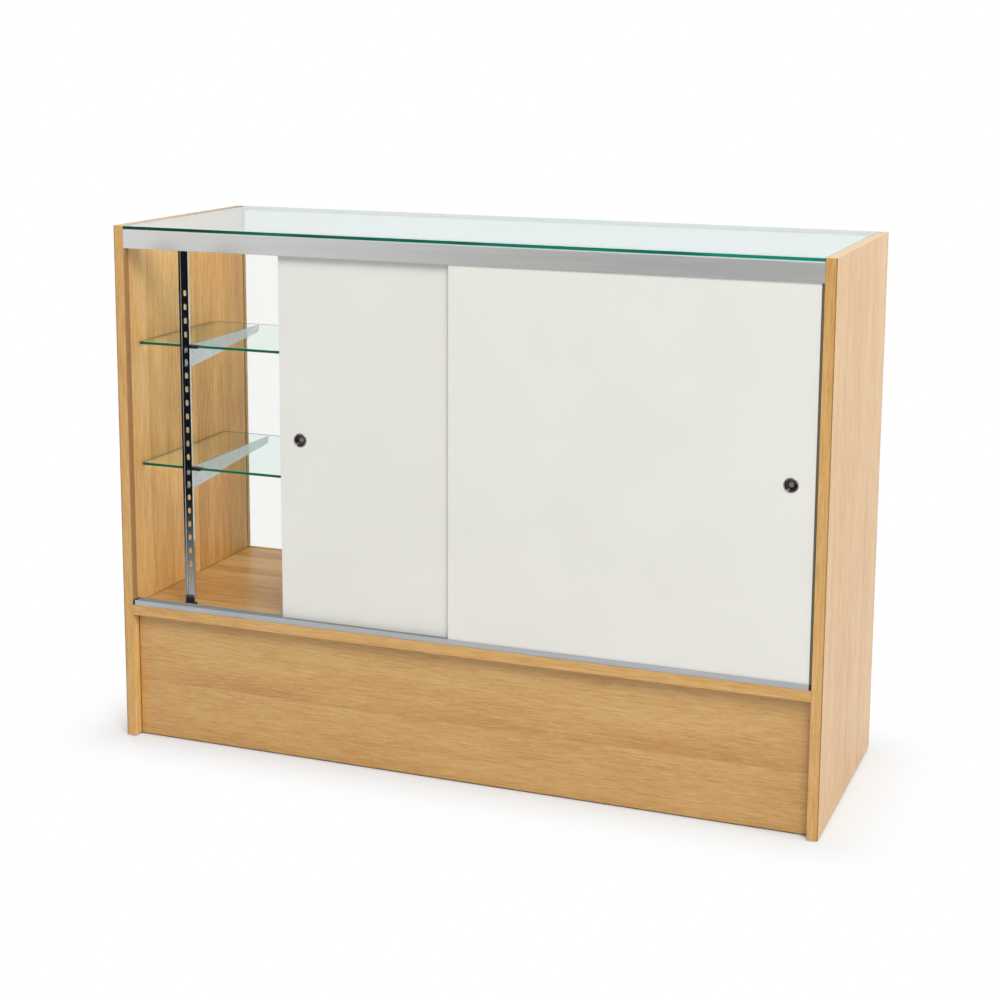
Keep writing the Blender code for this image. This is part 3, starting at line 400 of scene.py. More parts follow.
def oak_laminate(name, along, across, leaf_width, leaf_start=0.0, leaf_tone=0.05, leaf_shade=0.16,
                 stretch=GRAIN_STRETCH, shine=0.5, tones=BOARD_TONES, ends=None, joint_tone=JOINT_SHADE_TONE,
                 groove=None, top=None):
    """Oak print with its grain along one axis and its leaves side by side across another.

    Given their places, it has painted shade in the joints at both ends along X and towards a groove along Y,
    and painted light on the top face.
    """
    material, tree, shader = new_material(name, IOR=1.5, Specular_IOR_Level=shine)
    place = add_node(tree, "TexCoord")
    axes = add_node(tree, "SeparateXYZ", {0: place.outputs["Object"]})
    tone, lines, pores = oak_figure(tree, axes, along, across, leaf_width, leaf_start, leaf_tone, leaf_shade,
                                    stretch)
    ramp = add_node(tree, "ValToRGB", {0: tone})
    ramp.color_ramp.elements[0].color = linear(tones[0])
    ramp.color_ramp.elements[1].color = linear(tones[2])
    middle = ramp.color_ramp.elements.new(0.5)
    middle.color = linear(tones[1])
    colour = ramp.outputs["Color"]
    # The dark lines at the ends are painted shade of the narrow joints there.
    if ends:
        outward = add_node(tree, "Math", {0: axes.outputs["X"]}, operation='ABSOLUTE')
        joint = add_node(tree, "MapRange", {0: outward.outputs[0], 1: ends - JOINT_SHADE, 2: ends})
        mixed = add_node(tree, "Mix", {0: joint.outputs[0], 6: colour, 7: linear(joint_tone)},
                         data_type='RGBA')
        colour = mixed.outputs[2]
    # Painted shade: the board darkens towards the groove of the front glass, with a seam of painted shade
    # along it.
    if groove:
        shade = add_node(tree, "MapRange",
                         {0: axes.outputs["Y"], 1: groove - GROOVE_SHADE, 2: groove, 4: GROOVE_PAINTED_SHADE},
                         interpolation_type='SMOOTHSTEP')
        seam = add_node(tree, "Math",
                        {0: axes.outputs["Y"], 1: groove + JOINT_SHADE / 2, 2: JOINT_SHADE / 2},
                        operation='COMPARE')
        dark = add_node(tree, "Math", {0: seam.outputs[0], 1: SEAM_PAINTED_SHADE, 2: shade.outputs[0]},
                        operation='MULTIPLY_ADD')
        mixed = add_node(tree, "Mix", {0: dark.outputs[0], 6: colour, 7: linear(joint_tone)},
                         data_type='RGBA')
        colour = mixed.outputs[2]
    # Painted light: the top face is screened paler, as if lit from above.
    if top:
        upper = add_node(tree, "Math", {0: axes.outputs["Z"], 1: top - TOP_SKIN}, operation='GREATER_THAN')
        mixed = add_node(tree, "Mix", {0: upper.outputs[0], 6: colour, 7: linear(TOP_PAINTED_LIGHT)},
                         data_type='RGBA', blend_type='SCREEN')
        colour = mixed.outputs[2]
    tree.links.new(colour, shader.inputs["Base Color"])

    sheen = add_node(tree, "MapRange", {0: lines, 1: 0.3, 2: 0.7, 3: 0.36, 4: 0.30})
    tree.links.new(sheen.outputs[0], shader.inputs["Roughness"])
    relief = add_node(tree, "Math", {0: pores, 1: -0.5, 2: lines}, operation='MULTIPLY_ADD')
    bump = add_node(tree, "Bump", {"Height": relief.outputs[0], "Strength": 0.12, "Distance": 0.05 * MM})
    tree.links.new(bump.outputs[0], shader.inputs["Normal"])
    return material


print("joints and seams are drawn", round(JOINT_SHADE / MM, 1), "mm wide")

# %% [markdown]
# ## Oak on the boards and the strips
#
# The grain stands upright on the side boards and their strips, and runs along the deck and the kick
# boards. Each board is cut from its own sheet, so each has its own leaf width and its own stretch: the left
# board has long calm lines, the kick boards shorter ones. The kick boards and the strips have tones of their
# own, the left board's tones are lifted as painted light for its inner face, and the deck's are lowered as
# painted shade. The deck and the left board shine least, since they are seen from inside, where hands and
# cloths have dulled them.

# %% Dress the boards and the strips
SIDE_LEAF = 58 * MM
DECK_STAVE = 38 * MM
BROAD_LEAF = 132 * MM
LEFT_STRETCH = 48.0
KICK_STRETCH = 22.0
# The left board's tones are lifted as painted light, and the deck's lowered as painted shade.
LEFT_TONES_PAINTED_LIGHT = ("#c08544", "#e0ad67", "#f4cb89")
DECK_TONES_PAINTED_SHADE = ("#a97843", "#c29358", "#d2a86c")
KICK_TONES = ("#b7844a", "#c99b5c", "#d6af72")
STRIP_TONES = ("#b98543", "#cf9e5b", "#dcb072")
# The outer corner of each upright edge strip is darkened to this tone as painted shade.
STRIP_CORNER_SHADE_TONE = "#8a5a24"

deck_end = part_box("deck_panel")[1].x
kick_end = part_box("service_kick_panel")[1].x
glass_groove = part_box("front_glass")[0].y - JOINT_SHADE / 2
oak_left = oak_laminate("printed oak laminate, left side", "Z", "Y", SIDE_LEAF, leaf_start=0.194,
                        leaf_tone=0.16, leaf_shade=0.05, stretch=LEFT_STRETCH, shine=0.25,
                        tones=LEFT_TONES_PAINTED_LIGHT, groove=glass_groove)
oak_right = oak_laminate("printed oak laminate, right side", "Z", "Y", SIDE_LEAF, leaf_start=0.04,
                         leaf_tone=0.06, leaf_shade=0.04, top=cad_box[1][2])
oak_deck = oak_laminate("printed oak laminate, staves on the deck", "X", "Y", DECK_STAVE, leaf_tone=0.18,
                        leaf_shade=0.08, shine=0.15, tones=DECK_TONES_PAINTED_SHADE, ends=deck_end)
oak_kick = oak_laminate("printed oak laminate, kick board", "X", "Z", BROAD_LEAF, leaf_start=0.109,
                        stretch=KICK_STRETCH, tones=KICK_TONES, ends=kick_end)
strip_upright = oak_laminate("glued oak edge strip, upright grain", "Z", "X", BROAD_LEAF, leaf_start=0.03,
                             leaf_tone=0.01, leaf_shade=0.03, tones=STRIP_TONES, ends=cad_box[1][0],
                             joint_tone=STRIP_CORNER_SHADE_TONE)
strip_deck = oak_laminate("glued oak edge strip, deck", "X", "Z", BROAD_LEAF, leaf_start=0.2, leaf_tone=0.01,
                          leaf_shade=0.03, tones=STRIP_TONES)
dress(oak_left, "left_side_panel")
dress(oak_right, "right_side_panel")
dress(oak_deck, "deck_panel")
dress(oak_kick, "service_kick_panel", "customer_kick_panel")
dress(strip_upright, *(f"{side}_{face}_edge_band" for side in SIDES for face in FACES))
dress(strip_deck, *(f"deck_{face}_edge_band" for face in FACES))
print("oak on", sum("oak" in node.data.materials[0].name for node in nodes.values()), "pieces")

# %% [markdown]
# ## The sliding doors
#
# The doors are thin hardboard, sprayed off-white. A sprayed lacquer is not quite level: it has the faint
# ripple that painters call orange peel, about 3 mm from crest to crest, and it dulls unevenly where hands
# and cloths pass. The doors keep their CAD shape, so only the finish is made.

# %% Off-white lacquer
DULL_PATCH = 180 * MM
PEEL_SIZE = 3 * MM

lacquer, tree, shader = new_material("sprayed off-white lacquer on hardboard", IOR=1.48)
place = add_node(tree, "TexCoord")
cloud = add_node(tree, "TexNoise",
                 {"Vector": place.outputs["Object"], "Scale": 1 / DULL_PATCH, "Detail": 3.0})
paint = add_node(tree, "ValToRGB", {0: cloud.outputs["Fac"]})
paint.color_ramp.elements[0].position = 0.3
paint.color_ramp.elements[0].color = linear("#e5e2da")
paint.color_ramp.elements[1].position = 0.7
paint.color_ramp.elements[1].color = linear("#e8e5dd")
tree.links.new(paint.outputs["Color"], shader.inputs["Base Color"])
dull = add_node(tree, "MapRange", {0: cloud.outputs["Fac"], 1: 0.3, 2: 0.7, 3: 0.44, 4: 0.50})
tree.links.new(dull.outputs[0], shader.inputs["Roughness"])
peel = add_node(tree, "TexNoise", {"Vector": place.outputs["Object"], "Scale": 1 / PEEL_SIZE, "Detail": 1.0})
bump = add_node(tree, "Bump", {"Height": peel.outputs["Fac"], "Strength": 0.10, "Distance": 0.08 * MM})
tree.links.new(bump.outputs[0], shader.inputs["Normal"])
dress(lacquer, "left_door", "right_door")
print("lacquer on both doors")

# %% [markdown]
# ## The aluminium rail and track
#
# Both are extrusions, brushed along their length and anodised. The brush leaves fine lines along X, so the
# noise is stretched far along X, and the lines change the gloss more than the colour. Real lines are about
# 0.1 mm wide, and are drawn at 0.9 mm so that they show. The track has a thicker and duller skin than the
# rail: it is set as partly metal, so that it shows its own grey more than the room.

# %% Satin aluminium
BRUSH_LINE = 0.9 * MM
BRUSH_BAND = 8 * MM
BRUSH_SQUEEZE = 0.012


def brushed(name, dark, light, metal=1.0):
    """Anodised aluminium with brush lines along X."""
    material, tree, shader = new_material(name, Metallic=metal)
    place = add_node(tree, "TexCoord")
    drawn = add_node(tree, "Mapping",
                     {"Vector": place.outputs["Object"], "Scale": (BRUSH_SQUEEZE, 1.0, 1.0)})
    brush = add_node(tree, "TexNoise", {"Vector": drawn.outputs[0], "Scale": 1 / BRUSH_LINE, "Detail": 2.0})
    wide = add_node(tree, "TexNoise", {"Vector": drawn.outputs[0], "Scale": 1 / BRUSH_BAND, "Detail": 1.0})
    mixed = add_node(tree, "Math", {0: wide.outputs["Fac"], 1: 0.5, 2: brush.outputs["Fac"]},
                     operation='MULTIPLY_ADD')
    skin = add_node(tree, "ValToRGB", {0: mixed.outputs[0]})
    skin.color_ramp.elements[0].position = 0.5
    skin.color_ramp.elements[0].color = linear(dark)
    skin.color_ramp.elements[1].position = 1.0
    skin.color_ramp.elements[1].color = linear(light)
    tree.links.new(skin.outputs["Color"], shader.inputs["Base Color"])
    gloss = add_node(tree, "MapRange", {0: brush.outputs["Fac"], 1: 0.3, 2: 0.7, 3: 0.41, 4: 0.46})
    tree.links.new(gloss.outputs[0], shader.inputs["Roughness"])
    bump = add_node(tree, "Bump", {"Height": brush.outputs["Fac"], "Strength": 0.06, "Distance": 0.04 * MM})
    tree.links.new(bump.outputs[0], shader.inputs["Normal"])
    return material


# The rail mirrors the room softly along its length, and the track is a plainer, cooler grey.
satin = brushed("satin anodised aluminium, brushed rail", "#d5d6d4", "#dddddb")
cool_satin = brushed("satin anodised aluminium, brushed track", "#a9adaf", "#b9bcbd", metal=0.4)
print("aluminium:", [item.name for item in (satin, cool_satin)])

# %% [markdown]
# ## Glass
#
# Float glass is clear through its faces and green along its edges, where the eye looks through a long way
# of it. The edges are ground, with a narrow pale arris on each corner. Lamp light goes straight through a
# clear face, less the share that the pane keeps back, so that the shelves and the deck below are lit. The
# shelves are seen at a very flat angle, where glass is mostly a mirror and would hide the brackets under
# it. So most of their surface only bends light, and a quarter of it mirrors as well. They are a little
# greener than the front pane, since the eye looks through a longer way of glass.

# %% Clear faces, green edges and pale arrises
GLASS_IOR = 1.52
SMEAR_SIZE = 120 * MM
EDGE_REFLECTION_BAND = 240 * MM
EDGE_PAINTED_LIGHT = 0.45
GRIT_SIZE = 0.8 * MM


def clear_glass(name, tint, passing, mirror=1.0):
    """Glass seen through its faces: nearly colourless, with faint smears where a cloth has passed.

    Passing is the lamp light that it lets through, and mirror the share of it that mirrors and bends light.
    """
    material, tree, shader = new_material(name, IOR=GLASS_IOR, Transmission_Weight=1.0,
                                          Base_Color=linear(tint))
    place = add_node(tree, "TexCoord")
    waves = add_node(tree, "TexNoise",
                     {"Vector": place.outputs["Object"], "Scale": 1 / SMEAR_SIZE, "Detail": 1.0})
    wiped = add_node(tree, "MapRange", {0: waves.outputs["Fac"], 1: 0.4, 2: 0.8, 3: 0.0, 4: 0.02})
    tree.links.new(wiped.outputs[0], shader.inputs["Roughness"])
    # Light meets the tint twice, going in and coming out, so each time has its square root.
    once = tuple(math.sqrt(part) for part in linear(tint))
    bent = add_node(tree, "BsdfRefraction", {"Color": once, "Roughness": wiped.outputs[0], "IOR": GLASS_IOR})
    glass = add_node(tree, "MixShader", {0: mirror, 1: bent.outputs[0], 2: shader.outputs[0]})
    rays = add_node(tree, "LightPath")
    open_way = add_node(tree, "BsdfTransparent", {"Color": linear(passing)})
    blend = add_node(tree, "MixShader", {0: rays.outputs["Is Shadow Ray"], 1: glass.outputs[0],
                                         2: open_way.outputs[0]})
    tree.links.new(blend.outputs[0], tree.nodes["Material Output"].inputs["Surface"])
    return material


def ground_glass(name, deep, light, smooth, dull, shine):
    """Glass seen through its edge: the colour of a long way through it, under a finely ground skin.

    It is lighter towards the right end as painted light, and its bands are painted reflections of the dark
    room. The grit is finer than it is drawn, so that it shows.
    """
    material, tree, shader = new_material(name, IOR=GLASS_IOR, Specular_IOR_Level=shine)
    place = add_node(tree, "TexCoord")
    bands = add_node(tree, "TexNoise",
                     {"Vector": place.outputs["Object"], "Scale": 1 / EDGE_REFLECTION_BAND, "Detail": 2.0})
    axes = add_node(tree, "SeparateXYZ", {0: place.outputs["Object"]})
    # Painted light: the tone rises towards the right end, and the noise bands are painted reflections.
    drift = add_node(tree, "Math", {0: axes.outputs["X"], 1: EDGE_PAINTED_LIGHT, 2: bands.outputs["Fac"]},
                     operation='MULTIPLY_ADD')
    tint = add_node(tree, "ValToRGB", {0: drift.outputs[0]})
    tint.color_ramp.elements[0].position = 0.3
    tint.color_ramp.elements[0].color = linear(deep)
    tint.color_ramp.elements[1].position = 0.7
    tint.color_ramp.elements[1].color = linear(light)
    tree.links.new(tint.outputs["Color"], shader.inputs["Base Color"])
    grit = add_node(tree, "TexNoise",
                    {"Vector": place.outputs["Object"], "Scale": 1 / GRIT_SIZE, "Detail": 0.0})
    ground = add_node(tree, "MapRange", {0: grit.outputs["Fac"], 1: 0.3, 2: 0.7, 3: smooth, 4: dull})
    tree.links.new(ground.outputs[0], shader.inputs["Roughness"])
    return material


# The faces all but vanish, the edges are deep green lines, and the arrises are pale hairlines beside them,
# pale partly from grinding and partly as a painted highlight.
pane_glass = clear_glass("clear float glass, front and top", "#fafcfb", passing="#d6dad8")
shelf_glass = clear_glass("clear float glass, shelves", "#eef8f5", passing="#f8f9f8", mirror=0.25)
green_edge = ground_glass("ground float glass edge", "#043f30", "#0c836b", 0.22, 0.34, shine=0.12)
shelf_edge = ground_glass("ground float glass edge, shelves", "#0c5c3d", "#0d7a5a", 0.22, 0.34, shine=0.12)
pale_arris = ground_glass("ground float glass arris, with painted highlight", "#dcebe3", "#ecf5f0", 0.25, 0.40, shine=0.5)
print("glass:", [item.name for item in (pane_glass, shelf_glass, green_edge, shelf_edge, pale_arris)])

# %% [markdown]
# ## The four panes
#
# A glazier cuts a pane to size and takes the sharp corners off with a stone. Each pane starts here as a
# cube at the size of its CAD node and gets its arris by a bevel. The slant of a face then says what it is:
# a clear face lies flat to the pane, an edge stands square to it, and an arris is anything between.

# %% Cut the panes and grind their arrises
FLAT, SQUARE = 0.99, 0.01


def make_pane(node, thin_axis, clear, edge, arris):
    """A glass pane in the place of its CAD node, with green edges between two pale arrises."""
    low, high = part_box(node)
    bpy.ops.object.select_all(action='DESELECT')
    bpy.ops.mesh.primitive_cube_add(size=1.0, location=(low + high) / 2, scale=high - low)
    pane = bpy.context.object
    pane.name = f"{node}_pane"
    bpy.ops.object.transform_apply(location=True, rotation=True, scale=True)
    bpy.ops.object.mode_set(mode='EDIT')
    bpy.ops.mesh.select_all(action='SELECT')
    bpy.ops.mesh.bevel(offset=arris, segments=1, affect='EDGES')
    bpy.ops.object.mode_set(mode='OBJECT')
    stand_in(pane, node, "glass", clear, edge, pale_arris)
    for face in pane.data.polygons:
        slant = abs(face.normal[thin_axis])
        face.material_index = 0 if slant > FLAT else 1 if slant < SQUARE else 2
    return pane


panes = [make_pane("top_glass", 2, pane_glass, green_edge, 0.4 * MM),
         make_pane("front_glass", 1, pane_glass, green_edge, 0.5 * MM)]
panes += [make_pane(f"{level}_shelf", 2, shelf_glass, shelf_edge, 0.15 * MM) for level in LEVELS]
print("panes:", [(pane.name, len(pane.data.polygons)) for pane in panes])

# %% [markdown]
# ## Plated steel
#
# The uprights, the brackets and the small fittings are zinc plated. Fresh zinc is bright and slightly
# blue, and it lies in soft clouds, so the tone and the gloss wander a little over a few centimetres. The
# floor glides are nickel plated, and the finger cups chrome plated.

# %% Zinc, nickel and chrome
def plated(name, dark, light, smooth, dull, cloud_size):
    """A plated metal whose tone and gloss wander in soft clouds."""
    material, tree, shader = new_material(name, Metallic=1.0)
    place = add_node(tree, "TexCoord")
    cloud = add_node(tree, "TexNoise",
                     {"Vector": place.outputs["Object"], "Scale": 1 / cloud_size, "Detail": 4.0})
    tone = add_node(tree, "ValToRGB", {0: cloud.outputs["Fac"]})
    tone.color_ramp.elements[0].position = 0.3
    tone.color_ramp.elements[0].color = linear(dark)
    tone.color_ramp.elements[1].position = 0.7
    tone.color_ramp.elements[1].color = linear(light)
    tree.links.new(tone.outputs["Color"], shader.inputs["Base Color"])
    gloss = add_node(tree, "MapRange", {0: cloud.outputs["Fac"], 1: 0.3, 2: 0.7, 3: smooth, 4: dull})
    tree.links.new(gloss.outputs[0], shader.inputs["Roughness"])
    return material


# Bright zinc mirrors the room like a clean tin, pressed zinc is a soft grey, and nickel is warm and silky.
# The cups are bright on the rim, darkened on the wall as painted shade of what it mirrors, and dull on the
# floor.
bright_zinc = plated("bright zinc plate on rolled steel", "#c0c2c3", "#cfd0d0", 0.05, 0.08, 30 * MM)
dull_zinc = plated("dull zinc plate on pressed steel", "#bcc2c3", "#cfd3d4", 0.30, 0.42, 12 * MM)
nickel = plated("nickel plate on turned steel", "#8f8b84", "#a9a49c", 0.16, 0.28, 6 * MM)
chrome = plated("polished chrome plate on a rolled rim", "#8f8d89", "#a09e9a", 0.08, 0.16, 8 * MM)
painted_shade_chrome = plated("chrome plate on a drawn cup wall, darkened as painted shade", "#3e3c39", "#4c4946", 0.08, 0.16, 8 * MM)
dull_chrome = plated("dull chrome plate on a blasted cup floor", "#827f79", "#96938d", 0.42, 0.5, 8 * MM)
print("plates:", [item.name for item in (bright_zinc, dull_zinc, nickel, chrome, painted_shade_chrome, dull_chrome)])

# %% [markdown]
# ## Rubber and felt
#
# The bumpers in the track, the feet of the uprights and the clips at the shelves are moulded in black
# rubber, which is matt and faintly grainy. Strips of pressed wool felt on the side boards take the knock
# of a closing door. Wool is quite matt, and its fibres lie upright. Grain and fibres are finer than they
# are drawn, so that they show. The small fittings that keep their CAD shape get their finish here too.

# %% Black rubber and wool felt
RUBBER_GRAIN = 0.8 * MM
FIBRE_SIZE = 1.2 * MM

rubber, tree, shader = new_material("moulded black rubber", IOR=1.5)
place = add_node(tree, "TexCoord")
grain = add_node(tree, "TexNoise",
                 {"Vector": place.outputs["Object"], "Scale": 1 / RUBBER_GRAIN, "Detail": 2.0})
soot = add_node(tree, "ValToRGB", {0: grain.outputs["Fac"]})
soot.color_ramp.elements[0].position = 0.3
soot.color_ramp.elements[0].color = linear("#0d0d0d")
soot.color_ramp.elements[1].position = 0.7
soot.color_ramp.elements[1].color = linear("#1b1b1c")
tree.links.new(soot.outputs["Color"], shader.inputs["Base Color"])
dull = add_node(tree, "MapRange", {0: grain.outputs["Fac"], 1: 0.3, 2: 0.7, 3: 0.5, 4: 0.7})
tree.links.new(dull.outputs[0], shader.inputs["Roughness"])
bump = add_node(tree, "Bump", {"Height": grain.outputs["Fac"], "Strength": 0.2, "Distance": 0.1 * MM})
tree.links.new(bump.outputs[0], shader.inputs["Normal"])


def wool_felt(name, dark, light):
    """Pressed wool: matt, with fibres that are combed upright."""
    material, tree, shader = new_material(name, Roughness=0.95, IOR=1.4)
    place = add_node(tree, "TexCoord")
    combed = add_node(tree, "Mapping", {"Vector": place.outputs["Object"], "Scale": (1.0, 1.0, 0.35)})
    fibres = add_node(tree, "TexNoise",
                      {"Vector": combed.outputs[0], "Scale": 1 / FIBRE_SIZE, "Detail": 3.0})
    wool = add_node(tree, "ValToRGB", {0: fibres.outputs["Fac"]})
    wool.color_ramp.elements[0].position = 0.3
    wool.color_ramp.elements[0].color = linear(dark)
    wool.color_ramp.elements[1].position = 0.7
    wool.color_ramp.elements[1].color = linear(light)
    tree.links.new(wool.outputs["Color"], shader.inputs["Base Color"])
    bump = add_node(tree, "Bump", {"Height": fibres.outputs["Fac"], "Strength": 0.6, "Distance": 0.3 * MM})
    tree.links.new(bump.outputs[0], shader.inputs["Normal"])
    return material


# The right felt is darkened as painted shade of the narrow gap between the closed right door and its board.
felts = {"left": wool_felt("pressed brown wool felt", "#8f673c", "#b78a5a"),
         "right": wool_felt("pressed wool felt, darkened as painted shade", "#564f40", "#6e6552")}
for side in SIDES:
    dress(felts[side], f"{side}_door_felt")
    dress(dull_zinc, f"{side}_rail_clip", f"{side}_standard_screw")
    dress(dull_zinc, f"deck_cam_{side}", f"deck_cam_bolt_{side}")
    for face in FACES:
        dress(nickel, f"{face}_{side}_glide")
        dress(dull_zinc, f"kick_cam_{face}_{side}", f"kick_cam_bolt_{face}_{side}")
print("felt on the side boards, zinc on the small fittings, nickel on the glides")

# %% [markdown]
# ## Picking faces and edges by hand
#
# In the modelling window a builder clicks the faces or the edges to work on. Here a test on their place
# does the clicking: it leaves the piece in edit mode with only those selected.

# %% Pick by a test
TOUCH = 0.01 * MM
SMOOTH_BEND = math.radians(30)
SHARP_CORNER = math.radians(40)


def start_editing(piece, kind, test):
    """Select the faces (or edges) whose corner points pass a test, and go into edit mode."""
    bpy.context.tool_settings.mesh_select_mode = (False, kind == "edges", kind == "faces")
    mesh = piece.data
    for point in mesh.vertices:
        point.select = False
    for line in mesh.edges:
        line.select = kind == "edges" and test([mesh.vertices[at].co for at in line.vertices])
    for face in mesh.polygons:
        face.select = kind == "faces" and test([mesh.vertices[at].co for at in face.vertices])
    bpy.ops.object.mode_set(mode='EDIT')


def smooth_over(piece):
    """Shade rounded corners smoothly, and keep the flat faces between them flat."""
    bpy.ops.object.select_all(action='DESELECT')
    bpy.context.view_layer.objects.active = piece
    piece.select_set(True)
    bpy.ops.object.shade_smooth_by_angle(angle=SMOOTH_BEND)
    flat = piece.modifiers.new("flat faces first", 'WEIGHTED_NORMAL')
    flat.weight = 100
    flat.keep_sharp = True
    bpy.ops.object.modifier_apply(modifier=flat.name)


def same(points, axis, value):
    """True where all the points lie at one place along an axis."""
    return all(abs(point[axis] - value) < TOUCH for point in points)


def cut(piece, cutter):
    """Take a cutter's shape out of a piece."""
    bpy.ops.object.select_all(action='DESELECT')
    bpy.context.view_layer.objects.active = piece
    piece.select_set(True)
    hole = piece.modifiers.new("hole", 'BOOLEAN')
    hole.object = cutter
    hole.solver = 'EXACT'
    bpy.ops.object.modifier_apply(modifier=hole.name)
    bpy.data.objects.remove(cutter)


def add_block(name, low, high):
    """A block between two corners, with its place in its mesh."""
    bpy.ops.object.select_all(action='DESELECT')
    low, high = Vector(low), Vector(high)
    bpy.ops.mesh.primitive_cube_add(size=1.0, location=(low + high) / 2, scale=high - low)
    bpy.context.object.name = name
    bpy.ops.object.transform_apply(location=True, rotation=True, scale=True)
    return bpy.context.object


print("ready to model")

# %% [markdown]
# ## The slotted uprights
#
# An upright is a steel strip: the slots are punched in rows while it is flat, and then rolls fold its
# sides up into a channel. The folds are round on the outside. It starts here as a block that loses its
# open side and its ends, the two back edges are bevelled into the folds, the skin gets the thickness of
# the strip, and a row of rounded cutters punches the slots.

# %% Roll one upright and punch it
STRIP = 1.5 * MM
FOLD = 2.2 * MM
SLOTS = 22
SLOT_PITCH = 25.4 * MM
SLOT_SIZE = Vector((5.8 * MM, 8 * MM, 11 * MM))
FIRST_SLOT = 848 * MM
SLOT_ROUND = 0.49 * SLOT_SIZE.x
SCREW_HOLE = 2.2 * MM


def make_upright(side):
    """A rolled channel with its row of punched slots."""
    low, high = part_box(f"{side}_standard")
    upright = add_block(f"{side}_upright", low, high)
    start_editing(upright, "faces", lambda points: any(
        same(points, axis, value) for axis, value in ((1, low.y), (2, low.z), (2, high.z))))
    bpy.ops.mesh.delete(type='FACE')
    bpy.ops.object.mode_set(mode='OBJECT')
    start_editing(upright, "edges", lambda points: same(points, 1, high.y) and points[0].z != points[1].z)
    bpy.ops.mesh.bevel(offset=FOLD, segments=5, affect='EDGES')
    bpy.ops.object.mode_set(mode='OBJECT')
    strip = upright.modifiers.new("strip", 'SOLIDIFY')
    strip.thickness = STRIP
    strip.use_even_offset = True
    bpy.ops.object.modifier_apply(modifier=strip.name)

    middle = Vector(((low.x + high.x) / 2, high.y, FIRST_SLOT))
    punch = add_block("punch", middle - SLOT_SIZE / 2, middle + SLOT_SIZE / 2)
    start_editing(punch, "edges", lambda points: points[0].y != points[1].y)
    bpy.ops.mesh.bevel(offset=SLOT_ROUND, segments=6, affect='EDGES')
    bpy.ops.object.mode_set(mode='OBJECT')
    row = punch.modifiers.new("row", 'ARRAY')
    row.count = SLOTS
    row.use_relative_offset = False
    row.use_constant_offset = True
    row.constant_offset_displace = (0.0, 0.0, -SLOT_PITCH)
    bpy.ops.object.modifier_apply(modifier=row.name)
    cut(upright, punch)

    screw_low, screw_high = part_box(f"{side}_standard_screw")
    bpy.ops.object.select_all(action='DESELECT')
    bpy.ops.mesh.primitive_cylinder_add(vertices=32, radius=SCREW_HOLE, depth=SLOT_SIZE.y,
                                        location=(middle.x, high.y, (screw_low.z + screw_high.z) / 2),
                                        rotation=(math.pi / 2, 0, 0))
    cut(upright, bpy.context.object)
    smooth_over(upright)
    stand_in(upright, f"{side}_standard", "bright_zinc", bright_zinc)
    return upright


uprights = [make_upright(side) for side in SIDES]
print("uprights:", [(piece.name, len(piece.data.polygons)) for piece in uprights])

# %% [markdown]
# ## The finger cups
#
# A finger cup is drawn from one round of sheet steel: a press pushes the middle down into a cup, and the
# rim is rolled over into a flat bead that rests on the door. Its shape is the same all the way round, so
# one ring is drawn out step by step: across the dished floor, up the wall, over the bead and down the
# outside. The rim, the wall and the floor each get their own chrome, by how far a face is from the middle
# and how deep it lies.

# %% Draw one cup and set it in both doors
CUP_STEPS = 64
CUP_FLOOR = 4 * MM
CUP_WALL = 10.5 * MM
CUP_DEPTH = 7 * MM
CUP_RINGS = ((2.0, -6.35), (4.6, -6.5), (8.0, -6.4), (9.2, -5.9), (9.85, -5.0), (10.1, -3.2), (10.2, -1.4),
             (10.35, -0.55), (10.7, -0.14), (11.2, 0.0), (11.8, 0.0), (12.3, -0.12), (12.6, -0.4),
             (12.68, -0.8), (11.0, -0.8), (11.0, -5.8), (10.4, -7.0), (9.2, -7.5))


def draw_rings(name, rings, steps):
    """A round piece about the Z axis, drawn out ring by ring from (radius, height) in millimetres."""
    radius, height = rings[0]
    bpy.ops.object.select_all(action='DESELECT')
    bpy.ops.mesh.primitive_circle_add(vertices=steps, radius=radius * MM, location=(0.0, 0.0, height * MM),
                                      fill_type='NGON')
    piece = bpy.context.object
    piece.name = name
    bpy.ops.object.transform_apply(location=True, rotation=True, scale=True)
    start_editing(piece, "edges", lambda points: True)
    for wider, deeper in rings[1:]:
        bpy.ops.mesh.extrude_edges_move(TRANSFORM_OT_translate={"value": (0.0, 0.0, (deeper - height) * MM)})
        bpy.ops.transform.resize(value=(wider / radius, wider / radius, 1.0),
                                 center_override=(0.0, 0.0, 0.0))
        radius, height = wider, deeper
    bpy.ops.mesh.edge_face_add()
    bpy.ops.mesh.select_all(action='SELECT')
    bpy.ops.mesh.normals_make_consistent(inside=False)
    bpy.ops.object.mode_set(mode='OBJECT')
    bpy.ops.object.shade_smooth_by_angle(angle=SHARP_CORNER)
    return piece


def settle(piece, place, turn):
    """Turn a piece about X, put it in its place, and keep both in its mesh."""
    piece.rotation_euler = (turn, 0.0, 0.0)
    piece.location = place
    bpy.ops.object.select_all(action='DESELECT')
    bpy.context.view_layer.objects.active = piece
    piece.select_set(True)
    bpy.ops.object.transform_apply(location=True, rotation=True, scale=True)


for side in SIDES:
    low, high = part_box(f"{side}_door_pull")
    cup = draw_rings(f"{side}_finger_cup", CUP_RINGS, CUP_STEPS)
    middle = Vector(((low.x + high.x) / 2, low.y, (low.z + high.z) / 2))
    settle(cup, middle, math.pi / 2)
    stand_in(cup, f"{side}_door_pull", "chrome", chrome, painted_shade_chrome, dull_chrome,
             body=f"{side}_sliding_door")
    for face in cup.data.polygons:
        across, deep, up = face.center - middle
        reach = math.hypot(across, up)
        inside = reach < CUP_WALL and deep < CUP_DEPTH
        face.material_index = 0 if not inside else 1 if reach > CUP_FLOOR else 2
    print(cup.name, len(cup.data.polygons), "faces")

